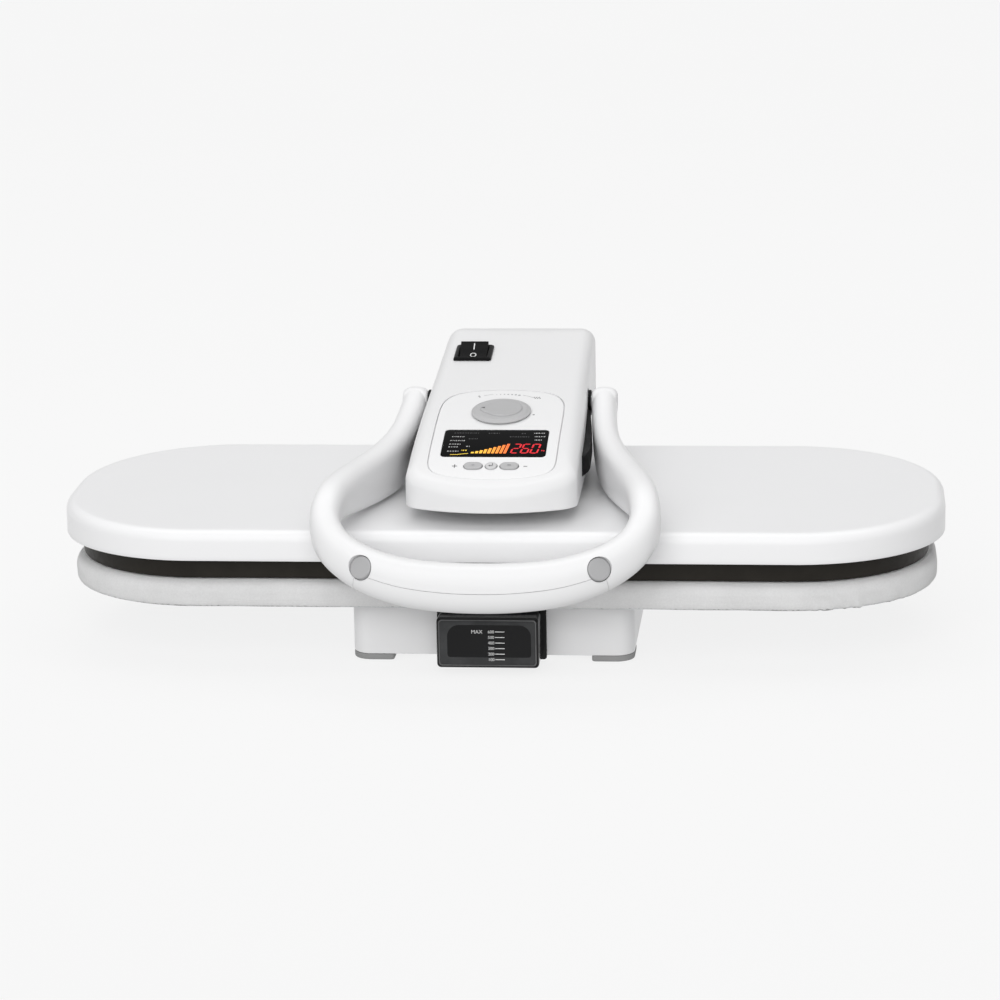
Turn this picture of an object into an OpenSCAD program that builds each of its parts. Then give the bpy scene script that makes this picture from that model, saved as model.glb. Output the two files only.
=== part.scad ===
// Steam ironing press: a padded board on a low base with a drawer water tank,
// and a heated head that swings up on a rear hinge under a ring-shaped handle.
// Millimetres. Origin on the floor, under the middle of the press; -Y is the
// side the user stands at, +Z is up.

/* [Head shell] */
// Length of the white head shell, end to end
shell_l = 660; // [650:2:680]
// Depth of the white head shell, front to back
shell_w = 256; // [252:1:258]
// Corner radius of the head shell seen from above
shell_r = 112; // [100:1:118]
// Height of the head shell's side
shell_h = 30.6; // [29:0.2:31]
// Drop of the head shell's top from its back to its front
shell_drop = 8.6; // [6:0.2:10]
// Radius along the head shell's top edge
shell_fillet = 8; // [6:0.5:9]
// Wall of the white mouldings
wall = 3; // [2.6:0.1:3.2]

/* [Heating plate] */
// How far the sole's foot sits inside the shell's outline
plate_inset = 12; // [11:0.5:13]
// Thickness of the sole
sole_t = 7.7; // [6:0.1:8]
// Diameter of the steam holes
steam_d = 3; // [2:0.2:4]
// Steam holes in the longest row
steam_n = 19; // [9:2:25]

/* [Board and pad] */
// How far the pad sits inside the shell's outline
pad_inset = 4.5; // [4:0.5:6]
// Height of the pad, board included
pad_h = 20.7; // [20:0.1:20.9]
// Thickness of the cloth cover
cover_t = 1.2; // [1:0.1:1.4]

/* [Base] */
// Width of the base
base_w = 207; // [200:1:214]
// Height of the base body's upper deck
deck_z = 43; // [43:0.1:43.2]
// Height of the rubber feet
foot_h = 4.5; // [4.5:0.1:4.8]
// Width of each rubber foot
foot_w = 31; // [26:1:36]

/* [Water tank] */
// Width of the tank's body
tank_w = 74; // [70:1:75]
// How far the tank's face stands out from the base
tank_out = 35; // [32:1:37]
// Wall of the tank
tank_wall = 2; // [1.6:0.1:2.4]

/* [Arm and controls] */
// Half width of the arm housing at its front
arm_hw = 62.7; // [62:0.1:63]
// Radius of the steam dial
dial_r = 22.3; // [20:0.1:23]
// Length of the long panel buttons
key_l = 13.4; // [11:0.2:14]
// Radius of the round panel button
enter_r = 4.2; // [3.6:0.1:4.4]
// Radius of the round steam buttons in the handle
thumb_r = 8.3; // [7.5:0.1:8.5]

/* [Hinges] */
// Diameter of the rear hinge pin
pin_d = 12; // [10:0.5:13]
// Diameter of the handle's cross shaft
shaft_d = 14; // [12:0.5:14]

/* [Hidden] */
$fn = 48;

shell_z = 80;                       // underside of the head shell
shell_top = shell_z + shell_h;
sole_z = 64.3;                      // ironing face of the heating plate
pad_top = 64;
pad_z = pad_top - pad_h;            // lower edge of the padded board
board_z = 44.5;                     // underside of the board
base_y0 = -105;                     // front of the base
base_y1 = 187;                      // back of the base and of its column
hinge = [167, 100];                 // rear hinge, [y, z]
pivot = [60, 158];                  // handle pivot, [y, z]
anchor = [152, 126];                // fixed end of the toggle links, [y, z]
arm_y0 = -118;                      // nose of the arm housing
arm_y1 = 195;                       // back of the arm housing
arm_z0 = 114;                       // lower edge of the arm housing
crank_r = 22;                       // toggle crank, pin to pin
crank_lead = 6;                     // how far the closed toggle is past its dead centre, degrees

// ---------- shared geometry ----------
// height of the arm housing's top along its length, and its slope in degrees
function top_z(y) = 133 + 0.1673 * (y + 112) + 16.4 * (1 - exp(-(y + 112) / 45));
function top_a(y) = atan(0.1673 + 0.3644 * exp(-(y + 112) / 45));

// outline of a rounded rectangle at a height
function rr(l, w, r, z, n = 10) = [for (q = [0:3]) for (i = [0:n])
  let (a = 90 * q + 90 * i / n, sx = (q == 0 || q == 3) ? 1 : -1, sy = (q < 2) ? 1 : -1)
  [sx * (l / 2 - r) + r * cos(a), sy * (w / 2 - r) + r * sin(a), z]];
function flat(p) = [for (q = p) [q[0], q[1]]];
// head outline, pulled in by d
function head_ring(d, z) = rr(shell_l - 2 * d, shell_w - 2 * d, shell_r - d, z);

// a closed skin through a chain of equal rings, capped at both ends
module chain(rings) {
  m = len(rings[0]); k = len(rings);
  polyhedron(points = [for (r = rings) for (p = r) p],
    faces = concat([[for (i = [0:m - 1]) i]],
      [for (j = [0:k - 2]) for (i = [0:m - 1]) [j * m + i, (j + 1) * m + i, (j + 1) * m + (i + 1) % m]],
      [for (j = [0:k - 2]) for (i = [0:m - 1]) [j * m + i, (j + 1) * m + (i + 1) % m, j * m + (i + 1) % m]],
      [[for (i = [m - 1:-1:0]) (k - 1) * m + i]]), convexity = 10);
}

// smooth curve through hand-set points
function cr(a, b, c, d, t) = 0.5 * (2 * b + (c - a) * t + (2 * a - 5 * b + 4 * c - d) * t * t + (3 * b - a - 3 * c + d) * t * t * t);
function smooth(p, n) = concat([for (i = [0:len(p) - 2]) for (k = [0:n - 1])
  cr(p[max(i - 1, 0)], p[i], p[i + 1], p[min(i + 2, len(p) - 1)], k / n)], [p[len(p) - 1]]);
function xyz(p) = [p[0], p[1], p[2]];
function unit(v) = v / norm(v);
function along(p, i) = unit(xyz(p[min(i + 1, len(p) - 1)]) - xyz(p[max(i - 1, 0)]));
// a ring of n points on an ellipse about p[i], with half sizes a (level) and b (upright)
function side_of(t) = let (h = cross(t, [0, 0, 1])) norm(h) < 0.05 ? [1, 0, 0] : unit(h);
function tube_ring(p, i, r, n) = let (t = along(p, i), e1 = side_of(t), e2 = cross(t, e1))
  [for (k = [0:n - 1]) xyz(p[i]) + r * cos(360 * k / n) * e1 + r * sin(360 * k / n) * e2];
module tube(p, r, n = 8) { chain([for (i = [0:len(p) - 1]) tube_ring(p, i, r, n)]); }

// a plate in the Y-Z plane, from x0 to x1
module slab_x(x0, x1) { translate([x0, 0, 0]) rotate([90, 0, 90]) linear_extrude(x1 - x0) children(); }
module both() { children(); mirror([1, 0, 0]) children(); }
module rod_x(c, r, x0, x1) { translate([x0, c[0], c[1]]) rotate([0, 90, 0]) cylinder(r = r, h = x1 - x0); }
// stands children on the housing's top at y, square to it
module on_top(x, y) { translate([x, y, top_z(y)]) rotate([top_a(y), 0, 0]) children(); }
// a strip of the housing's top, from depth d0 down to d1, between y0 and y1
module top_strip(y0, y1, d0, d1, hw, n = 16) {
  slab_x(-hw, hw) polygon(concat(
    [for (i = [0:n]) let (y = y0 + (y1 - y0) * i / n) [y, top_z(y) - d0]],
    [for (i = [n:-1:0]) let (y = y0 + (y1 - y0) * i / n) [y, top_z(y) - d1]]));
}
// coil of wire standing on z = 0, axis along z
module coil(r, wire, turns, h, n = 14) {
  tube([for (i = [0:turns * n]) [r * cos(360 * i / n), r * sin(360 * i / n), wire + (h - 2 * wire) * i / (turns * n)]], wire, 6);
}

// ---------- base ----------
base_cy = (base_y0 + base_y1) / 2;
module base_plan(d) { translate([0, base_cy]) polygon(flat(rr(base_w - 2 * d, base_y1 - base_y0 - 2 * d, 14 - d, 0))); }
bay_hw = tank_w / 2 + 1.3;
boss_xy = [for (x = [-95.5, 95.5], y = [-60, 40, 140]) [x, y]];
module base_shell() { color("white") difference() {
  union() {
    difference() {
      translate([0, 0, foot_h]) linear_extrude(deck_z - foot_h) base_plan(0);
      translate([0, 0, foot_h - 1]) linear_extrude(deck_z - wall - foot_h + 1) base_plan(wall);
    }
    // raised seat for the board
    translate([-92, -99, deck_z - 1]) cube([184, 196, board_z - deck_z + 1]);
    // bosses for the bottom cover's screws
    for (p = boss_xy) translate([p[0], p[1], foot_h + 2.2]) cylinder(r = 4, h = deck_z - wall - foot_h - 1);
  }
  // mouth of the tank bay
  translate([-bay_hw, base_y0 - 1, foot_h - 1]) cube([2 * bay_hw, 5, deck_z - wall - foot_h + 1]);
  // way up into the column
  translate([-44, 150, deck_z - 6]) cube([88, 33, 12]);
  for (p = boss_xy) translate([p[0], p[1], 0]) cylinder(r = 2.05, h = 20);
  // power cord's way in
  translate([-70, base_y1 - 5, 22]) rotate([-90, 0, 0]) cylinder(r = 7, h = 10);
} }
// two side walls and a back wall, under the deck
module tank_bay() { color("gainsboro") difference() {
  union() {
    both() translate([bay_hw, base_y0 + 4, 8]) cube([2, 158, deck_z - wall - 8]);
    translate([-bay_hw - 2, 56, 8]) cube([2 * bay_hw + 4, 2, deck_z - wall - 8]);
  }
  // passage for the tank's spigot
  translate([0, 50, 23]) rotate([-90, 0, 0]) cylinder(r = 9, h = 12);
} }
// two cheeks, a back and a front wall
module hinge_column() { color("white") difference() {
  union() {
    both() slab_x(44, 48) union() {
      translate([147, deck_z]) square([40, hinge[1] - deck_z]);
      translate(hinge) circle(20);
    }
    translate([-46, base_y1 - 4, deck_z]) cube([92, 4, 61]);
    translate([-46, 147, deck_z]) cube([92, 3, 43]);
  }
  rod_x(hinge, pin_d / 2 + 0.05, -60, 60);
} }

module base_bottom_cover() { color("gainsboro") difference() {
  translate([0, 0, foot_h]) linear_extrude(2) base_plan(wall + 0.2);
  for (p = boss_xy) translate([p[0], p[1], 0]) cylinder(r = 2.2, h = 10);
  // cooling slots
  for (i = [0:6]) translate([-72 + 8 * i, 75, 0]) cube([3, 50, 10]);
} }

module feet() { color("darkgray") for (x = [-1, 1], y = [0, 1])
  linear_extrude(foot_h) intersection() {
    base_plan(0);
    translate([x * (base_w / 2 - foot_w / 2), y ? base_y1 - 17 : base_y0 + 17]) square([foot_w, 34], center = true);
  }
}

module base_screws() { color("silver") for (p = boss_xy)
  translate([p[0], p[1], foot_h]) rotate([180, 0, 0]) union() { cylinder(d = 7, h = 1.6); translate([0, 0, -12]) cylinder(d = 4, h = 12.1); }
}

module board_plate() { color("silver") translate([0, 0, board_z]) linear_extrude(3)
  polygon(flat(head_ring(pad_inset + 2.6, 0))); }

module foam_pad() { color("lightyellow") chain([
  head_ring(pad_inset + 2.4, board_z + 3.1), head_ring(pad_inset + 1.5, board_z + 5), head_ring(pad_inset + 1.5, pad_top - 6),
  head_ring(pad_inset + 3, pad_top - 2.6), head_ring(pad_inset + 6.5, pad_top - cover_t - 0.1)]); }

module pad_cover() { color("lightgray") chain(concat(
  [head_ring(pad_inset + 6.4, pad_top - cover_t), head_ring(pad_inset + 2.8, pad_top - 2.5), head_ring(pad_inset + 1.3, pad_top - 6),
   head_ring(pad_inset + 1.3, board_z + 5), head_ring(pad_inset + 2, board_z - 0.1), head_ring(pad_inset + 15, board_z - 0.1)],
  [head_ring(pad_inset + 15, pad_z), head_ring(pad_inset + 4, pad_z), head_ring(pad_inset + 1.6, pad_z + 1.4), head_ring(pad_inset + 0.2, pad_z + 4.5),
   head_ring(pad_inset, pad_z + 8), head_ring(pad_inset, pad_top - 7), head_ring(pad_inset + 0.7, pad_top - 4), head_ring(pad_inset + 2.6, pad_top - 1.4),
   head_ring(pad_inset + 6, pad_top)])); }

module hinge_bracket() { color("slategray") difference() {
  union() {
    both() slab_x(38, 42) union() {
      translate([152, 41]) square([30, hinge[1] - 41]);
      translate(hinge) circle(15);
      polygon([[153, 90], [158, 116], [157.6, 130], [146.8, 121.6], [151, 100]]);
      translate(anchor) circle(7);
    }
    translate([-42, 152, 38]) cube([84, 30, 3]);
    both() rod_x(anchor, 5, 17, 39);
  }
  rod_x(hinge, pin_d / 2 + 0.05, -60, 60);
  // the feed hose's way up
  translate([27, 167.3, 30]) cylinder(r = 4.6, h = 20);
} }

module hinge_pin() { color("silver") rod_x(hinge, pin_d / 2, -54.2, 54.2); }
module pin_clips() { color("dimgray") both() difference() {
  rod_x(hinge, pin_d / 2 + 3, 53.2, 54.2);
  rod_x(hinge, pin_d / 2, 50, 56);
} }

module lift_springs() { color("gray") both() {
  translate([19.5, hinge[0], hinge[1]]) rotate([0, 90, 0]) coil(10, 1.5, 5, 17);
} }

pump_x = 74;
module water_pump() { color("whitesmoke") union() {
  translate([pump_x, 20, 22]) rotate([-90, 0, 0]) cylinder(r = 13, h = 44);
  translate([pump_x - 14, 28, 6.6]) cube([28, 30, 8]);
  translate([pump_x, 8, 22]) rotate([-90, 0, 0]) cylinder(r = 5, h = 13);
  translate([pump_x, 60, 22]) rotate([-90, 0, 0]) cylinder(r = 5, h = 14);
} }
module valve_socket() { color("white") difference() {
  union() { translate([0, 58.1, 23]) rotate([-90, 0, 0]) cylinder(r = 13, h = 3);
    translate([0, 58.1, 23]) rotate([-90, 0, 0]) cylinder(r = 10, h = 14);
    translate([4, 66, 23]) rotate([0, 90, 0]) cylinder(r = 3, h = 14); }
  translate([0, 50, 23]) rotate([-90, 0, 0]) cylinder(r = 6.5, h = 18);
} }
suction_path = [[18.1, 66, 23], [26, 66, 23], [36, 66, 23], [43, 63, 22.5], [47, 54, 22], [48, 40, 22], [48, 14, 22], [49, -6, 22], [54, -16, 22], [62, -19, 22], [69, -15, 22], [73, -7, 22], [pump_x, 1, 22], [pump_x, 7.9, 22]];
feed_path = [[pump_x, 74.1, 22], [pump_x, 86, 22], [69, 104, 22], [56, 124, 22], [39, 146, 24], [30, 160, 28], [27, 167, 38], [27, 168, 52], [27, 168, 68], [27, 168, 84]];
module suction_hose() { color("lightgray") tube(smooth(suction_path, 3), 3, 8); }
module feed_hose() { color("lightgray") tube(smooth(feed_path, 3), 3, 8); }
module cord_gland() { color("dimgray") difference() {
  union() { translate([-70, base_y1 - 4, 22]) rotate([-90, 0, 0]) cylinder(r = 7, h = 5);
    translate([-70, base_y1, 22]) rotate([-90, 0, 0]) cylinder(r = 9.5, h = 3);
    translate([-70, base_y1 - wall - 2, 22]) rotate([-90, 0, 0]) cylinder(r = 9, h = 2); }
  translate([-70, base_y1 - 20, 22]) rotate([-90, 0, 0]) cylinder(r = 3.6, h = 40);
} }
module power_board() { color("darkgreen") union() {
  translate([-89, -50, 12]) cube([46, 84, 1.6]);
  translate([-85, -42, 13.5]) cube([20, 16, 18]);
  translate([-62, -44, 13.5]) cylinder(d = 12, h = 20);
  translate([-86, 6, 13.5]) cube([34, 4, 22]);
  translate([-70, -10, 13.5]) cube([14, 10, 9]);
  for (x = [-87, -45], y = [-48, 32]) translate([x, y, 6.5]) cylinder(d = 4, h = 6);
} }

// ---------- head ----------
post_xy = [[-30, -45], [30, -45], [-30, 45], [30, 45]];
// fall of the shell's top at y, and a ring laid on that slope
function fall(y) = shell_drop * (shell_w / 2 - y) / shell_w;
function sloped(r) = [for (p = r) [p[0], p[1], p[2] - fall(p[1])]];
module press_shell() { color("white") difference() {
  chain(concat(
    [for (a = [90:-30:0]) sloped(head_ring(wall + (shell_fillet - wall) * (1 - cos(a)), shell_top - shell_fillet + (shell_fillet - wall) * sin(a)))],
    [head_ring(wall, shell_z), head_ring(0.5, shell_z), head_ring(0, shell_z + 0.8)],
    [for (a = [0:18:90]) sloped(head_ring(shell_fillet * (1 - cos(a)), shell_top - shell_fillet + shell_fillet * sin(a)))]));
  for (p = post_xy) translate([p[0], p[1], shell_top - 10]) cylinder(r = 5, h = 20);
  translate([0, 20, shell_top - 10]) cylinder(r = 9, h = 20);
} }
steam_rows = [-84, -56, -28, 0, 28, 56, 84];
module heating_plate() { color([0.17, 0.15, 0.14]) difference() {
  chain([head_ring(plate_inset + 1.4, sole_z), head_ring(plate_inset, sole_z + 1.4), head_ring(plate_inset - 2.6, 84),
    head_ring(plate_inset + 1.4, 84), head_ring(plate_inset + 3.4, sole_z + sole_t)]);
  for (j = [0:len(steam_rows) - 1]) let (y = steam_rows[j], m = steam_n - (j % 2) - 2 * floor(abs(y) / 40), dx = 29)
    for (i = [0:m - 1]) translate([(i - (m - 1) / 2) * dx, y, sole_z - 1]) cylinder(d = steam_d, h = sole_t + 2);
} }
module plate_gasket() { color([0.1, 0.1, 0.1]) translate([0, 0, shell_z + 0.6]) linear_extrude(2.4) difference() {
  polygon(flat(head_ring(wall + 0.1, 0)));
  polygon(flat(head_ring(plate_inset - 2.9, 0)));
} }
heat_z = sole_z + sole_t + 4;
module heating_element() { color("darkgray") union() {
  for (s = [-1, 1]) translate([-226, s * 70, heat_z]) rotate([0, 90, 0]) cylinder(r = 4, h = 440);
  translate([214, 0, heat_z]) rotate([0, 0, -90]) rotate_extrude(angle = 180) translate([70, 0]) circle(4);
  for (s = [-1, 1]) translate([-236, s * 70, heat_z]) rotate([0, 90, 0]) cylinder(r = 1.6, h = 12);
} }
module steam_chamber_cover() { color("silver") difference() {
  union() {
    translate([-190, -62, sole_z + sole_t]) cube([380, 124, 5]);
    translate([0, 20, sole_z + sole_t]) cylinder(r = 7, h = 18);
  }
  translate([0, 20, sole_z + sole_t - 1]) cylinder(r = 3, h = 30);
  translate([-184, -58, sole_z + sole_t - 1]) cube([368, 116, 4]);
  for (p = post_xy) translate([p[0], p[1], sole_z + sole_t - 1]) cylinder(r = 7, h = 10);
} }
module thermostat() { color("tan") union() {
  translate([-222, 0, sole_z + sole_t]) cylinder(r = 8, h = 6);
  translate([-222, 0, sole_z + sole_t + 5]) cylinder(r = 6, h = 6);
  for (s = [-1, 1]) translate([-223, s * 4 - 0.4, sole_z + sole_t + 10]) cube([4, 0.8, 7]);
} }
module hanger_posts() { color("silver") for (p = post_xy) translate([p[0], p[1], sole_z + sole_t]) union() {
  cylinder(r = 6.5, h = 4);
  cylinder(r = 4, h = 126 - sole_z - sole_t);
} }
module hanger_nuts() { color("dimgray") for (p = post_xy) translate([p[0], p[1], 120.5]) difference() {
  cylinder(r = 7.5, h = 4.4, $fn = 6);
  translate([0, 0, -1]) cylinder(r = 4, h = 8);
} }
module levelling_springs() { color("gray") for (p = post_xy) translate([p[0], p[1], sole_z + sole_t + 5.2]) coil(8.5, 1.2, 5, shell_top - wall - fall(p[1] - 9.7) - 0.7 - sole_z - sole_t - 5.2, 12); }

// arm housing, seen from the side and from above, pulled in by d
function arm_side(d) = concat(
  [[arm_y0 + d, arm_z0], [arm_y0 + d + 0.6, 126], [arm_y0 + d + 2.2, 130.4 - d], [arm_y0 + d + 5.6, 132.6 - d]],
  [for (i = [0:20]) let (y = -110 + 13.4 * i) [y, top_z(y) - d]],
  [for (a = [80:-10:0]) [166 + (arm_y1 - 166 - d) * cos(a), 168 + (27 - d) * sin(a)]]);
module arm_outer() { polygon(concat(arm_side(0), [[arm_y1, 118], [190, 106]],
  [for (a = [0:-14:-140]) [hinge[0] + 23 * cos(a), hinge[1] + 23 * sin(a)]], [[141, 98], [135, arm_z0]])); }
module arm_inner() { polygon(concat([[arm_y0 + wall, 60]], arm_side(wall), [[arm_y1 - wall, 118], [210, 118], [210, 60]])); }
arm_half = concat([for (x = [0:10:50]) [x, arm_y0 + 115 - sqrt(115 * 115 - x * x)]],
  [[55, -103.6], [59, -99.6], [61.6, -94.6], [arm_hw, -88], [61.5, 0], [60.2, 60], [58.6, 162], [57.6, 175], [54.6, 184.6], [49, 191.4], [41, arm_y1]]);
function arm_plan(d, back) = let (h = [for (p = arm_half) [p[0] * (arm_hw - d) / arm_hw, p[1] > 150 ? min(p[1] + back, 220) : p[1] + d * (p[1] < -80 ? 1 : 0)]])
  concat(h, [for (i = [len(h) - 1:-1:1]) [-h[i][0], h[i][1]]]);
panel_half = [[0, -105.2], [14, -104.6], [28, -102.6], [38, -99.6], [43.6, -95.6], [46.4, -89], [47, -78], [47, -20], [46.4, 2], [44.4, 13], [40, 22], [33, 28], [22, 32], [10, 33.8], [0, 34]];
function panel_plan(d) = let (h = [for (p = panel_half) [p[0] * (47 + d) / 47, -35 + (p[1] + 35) * (69.5 + d) / 69.5]])
  concat(h, [for (i = [len(h) - 2:-1:1]) [-h[i][0], h[i][1]]]);
module key_shape(l, r, h) { linear_extrude(h) union() {
  square([l - 2 * r, 2 * r], center = true); for (s = [-1, 1]) translate([s * (l / 2 - r), 0]) circle(r); } }
key_y = -90.4; key_x = 13.2; key_hr = 4.2;
win_y0 = -79; win_y1 = -38.5; win_hw = 38.6;
dial_y = -9.2; sw_x = -32.5; sw_y = 108.5;
module key_holes(c) {
  for (s = [-1, 1]) on_top(s * key_x, key_y) translate([0, 0, -8]) key_shape(key_l + 2 * c, key_hr + c, 20);
  on_top(0, key_y) translate([0, 0, -8]) cylinder(r = enter_r + c, h = 20);
}
module arm_housing() { color("white") difference() {
  intersection() {
    slab_x(-70, 70) arm_outer();
    translate([0, 0, 60]) linear_extrude(150) polygon(arm_plan(0, 0));
  }
  intersection() {
    slab_x(-70, 70) arm_inner();
    union() {
      translate([0, 0, 117.9]) linear_extrude(100) polygon(arm_plan(wall, -wall));
      translate([0, 0, 50]) linear_extrude(68) polygon(arm_plan(wall, 30));
    }
  }
  // recess for the panel, window, dial and keys
  intersection() {
    top_strip(-108, 40, -3, 1.65, 60, 24);
    translate([0, 0, 100]) linear_extrude(120) polygon(panel_plan(0.25));
  }
  translate([-36, -77, 100]) cube([72, 34, 80]);
  on_top(0, dial_y) translate([0, 0, -10]) cylinder(r = 6, h = 20);
  key_holes(0.6);
  on_top(sw_x, sw_y) translate([-13, -13.5, -10]) cube([26, 27, 20]);
  rod_x(pivot, shaft_d / 2 + 4, -70, 70);
} }
module arm_cover() { color("gainsboro") difference() {
  intersection() {
    translate([-70, arm_y0, arm_z0]) cube([140, 128 - arm_y0, 2.6]);
    translate([0, 0, 60]) linear_extrude(150) polygon(arm_plan(wall + 0.3, 0));
  }
  for (p = post_xy) translate([p[0], p[1], 100]) cylinder(r = 5, h = 30);
  translate([0, 20, 100]) cylinder(r = 9, h = 30);
  for (x = [-42, 42], y = [-52, 112]) translate([x, y, 100]) cylinder(r = 1.8, h = 30);
} }
module cover_screws() { color("silver") for (x = [-42, 42], y = [-52, 112])
  translate([x, y, arm_z0]) rotate([180, 0, 0]) union() { cylinder(d = 6.4, h = 1.5); translate([0, 0, -8]) cylinder(d = 3.4, h = 8); } }
module arm_frame() { color("slategray") difference() {
  union() {
    both() slab_x(50, 53) polygon([[-60, 117], [-60, 130], [10, 150], [46, 167], [54, 170], [66, 170], [74, 167], [130, 141], [172, 117],
      [181, 109], [184, 99], [181, 90], [173, 84.6], [163, 84.4], [154, 89.6], [148.6, 100], [136, 117]]);
    translate([-51, -60, 117]) cube([102, 184, 3.4]);
  }
  rod_x(hinge, 8, -60, 60);
  rod_x(pivot, shaft_d / 2 + 2, -60, 60);
  for (p = post_xy) translate([p[0], p[1], 110]) cylinder(r = 4.3, h = 20);
  translate([0, 20, 110]) cylinder(r = 9, h = 20);
  for (x = [-42, 42], y = [-52, 112]) translate([x, y, 110]) cylinder(r = 1.75, h = 20);
} }
module ring_x(c, ro, ri, x0, x1) { difference() { rod_x(c, ro, x0, x1); rod_x(c, ri, x0 - 1, x1 + 1); } }
module hinge_bushes() { color("darkgoldenrod") both() ring_x(hinge, 8, pin_d / 2 + 0.05, 49, 53.1); }
module shaft_bushes() { color("darkgoldenrod") both() ring_x(pivot, shaft_d / 2 + 2, shaft_d / 2 + 0.05, 49, 54); }
module control_panel() { color("whitesmoke") difference() {
  intersection() {
    top_strip(-108, 40, 0, 1.6, 60, 24);
    translate([0, 0, 100]) linear_extrude(120) polygon(panel_plan(0));
  }
  translate([-win_hw - 0.15, win_y0 - 0.15, 100]) cube([2 * win_hw + 0.3, win_y1 - win_y0 + 0.3, 100]);
  on_top(0, dial_y) translate([0, 0, -10]) cylinder(r = 6, h = 20);
  key_holes(0.3);
} }
module display_window() { color([0.05, 0.05, 0.06]) top_strip(win_y0, win_y1, 0, 1.5, win_hw, 8); }
module display_board() { color("darkgreen") union() {
  on_top(0, -60) translate([-34, -15.5, -9]) cube([68, 31, 6]);
  on_top(0, -60) translate([-42, -20, -11]) cube([84, 42, 2.4]);
  on_top(0, key_y) translate([-24, -8.5, -14]) cube([48, 15, 1.6]);
  for (x = [-1, 0, 1]) on_top(x * key_x, key_y) translate([-3, -3, -12.6]) cube([6, 6, 2.2]);
} }
module dial_encoder() { color("dimgray") difference() { on_top(0, dial_y) union() {
  translate([-10, -10, -18]) cube([20, 20, 8]);
  translate([0, 0, -10.5]) cylinder(r = 5, h = 6.4);
  }
  on_top(0, dial_y) translate([0, 0, -15]) cylinder(r = 3.05, h = 30);
} }
module switch_body() { color([0.04, 0.04, 0.04]) difference() {
  union() {
    on_top(sw_x, sw_y) translate([-14.7, -15.5, 0.25]) linear_extrude(2.6) polygon(flat([for (p = rr(29.4, 31, 1.5, 0, 4)) p + [14.7, 15.5, 0]]));
    on_top(sw_x, sw_y) translate([-12.6, -13.2, -21]) cube([25.2, 26.4, 22]);
  }
  on_top(sw_x, sw_y) translate([-11.2, -12.2, -10]) cube([22.4, 24.4, 20]);
  // bearings of the rocker's studs
  on_top(sw_x, sw_y) rod_x([0, 1.5], 0.85, -12.2, 12.2);
} }
module steam_pipe() { color("lightgray") tube(smooth([[0, 20, 90.2], [0, 20, 102], [0, 20, 116], [1, 21, 124], [3, 28, 129], [6, 46, 130], [8, 80, 130], [9, 110, 128], [9.5, 124, 126]], 2), 2.8, 8); }

// ---------- handle ----------
// half of the handle's line: x, y, z, its half width, its half height, and how much deeper the arm's plate hangs below
grip_half = [[72.7, 60, 158, 9.7, 12.2, 30], [74.4, 34, 150, 9.5, 12.2, 24], [77.2, 8, 143, 9.4, 12.2, 20], [82.2, -18, 138, 9.7, 12.2, 18.5],
  [89.8, -46, 134.6, 10.1, 12, 16], [99.2, -76, 132.4, 10.6, 11.8, 13.5], [107.6, -105, 130.4, 11, 12, 10], [112.8, -129, 125.8, 11, 12.4, 5],
  [114.2, -146, 114, 11.2, 13.2, 1.5], [108.2, -158, 102, 11.6, 14.2, 0], [95.2, -167, 92.4, 12, 15.2, 0], [77.4, -174, 85, 12.5, 16.2, 0],
  [54.4, -179, 79.2, 13, 16.8, 0], [28, -181.4, 76, 13, 17, 0], [0, -182, 75, 13, 17, 0]];
grip_line = smooth(concat([for (p = grip_half) [-p[0], p[1], p[2], p[3], p[4], p[5]]], [for (i = [len(grip_half) - 2:-1:0]) grip_half[i]]), 3);
grip_n = len(grip_line);
seam_i = 31;   // ring at which the grip's lower cover begins
function grip_ring(i, lo, hi, back = 0, n = 20) = let (p = grip_line[i], t = along(grip_line, i), e1 = side_of(t), e2 = cross(t, e1) * -1, f = -e1,
    d = max(0, p[5]), q = 0.86 - 0.4 * min(1, d / 15))
  [for (k = [0:n - 1]) let (a = 360 * k / n, c = cos(a), s = sin(a), low = s < -0.001, y = (p[4] + (low ? d : 0)) * sign(s) * pow(abs(s), 0.86), x = p[3] * sign(c) * pow(abs(c), low ? q : 0.86))
    xyz(p) + back * t + x * f + max(lo, min(hi, y)) * e2];
// a round steam button's seat: centre of its face and the way it points
thumb_c = [84.2, -183, 90.8];
thumb_dir = unit([0.36, -0.80, 0.44]);
module at_thumb(s) { translate([s * thumb_c[0], thumb_c[1], thumb_c[2]])
  rotate([0, acos(thumb_dir[2]), atan2(thumb_dir[1], s * thumb_dir[0])]) children(); }
module handle_body() { color("white") difference() {
  union() {
    chain(concat(
      [for (i = [0:seam_i]) grip_ring(i, -99, 99)], [grip_ring(seam_i, 0, 99, 0.4)],
      [for (i = [seam_i + 1:grip_n - 2 - seam_i]) grip_ring(i, 0, 99)],
      [grip_ring(grip_n - 1 - seam_i, 0, 99, -0.4)], [for (i = [grip_n - 1 - seam_i:grip_n - 1]) grip_ring(i, -99, 99)]));
    both() rod_x(pivot, 12.1, 63, 82.4);
  }
  rod_x(pivot, shaft_d / 2, -90, 90);
  for (s = [-1, 1]) at_thumb(s) translate([0, 0, -14]) cylinder(r = thumb_r + 0.3, h = 30);
} }
module grip_cover() { color("white") difference() {
  chain([for (i = [seam_i + 1:grip_n - 2 - seam_i]) grip_ring(i, -99, -0.2)]);
  for (s = [-1, 1]) at_thumb(s) translate([0, 0, -14]) cylinder(r = thumb_r + 0.3, h = 30);
  for (x = [-50, 0, 50]) translate([x, x == 0 ? -182 : -179.4, 50]) cylinder(r = 1.7, h = 40);
} }
module grip_screws() { color("silver") for (x = [-50, 0, 50]) translate([x, x == 0 ? -182 : -179.4, x == 0 ? 59 : 62.6]) cylinder(d = 3.2, h = 15.6); }
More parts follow.
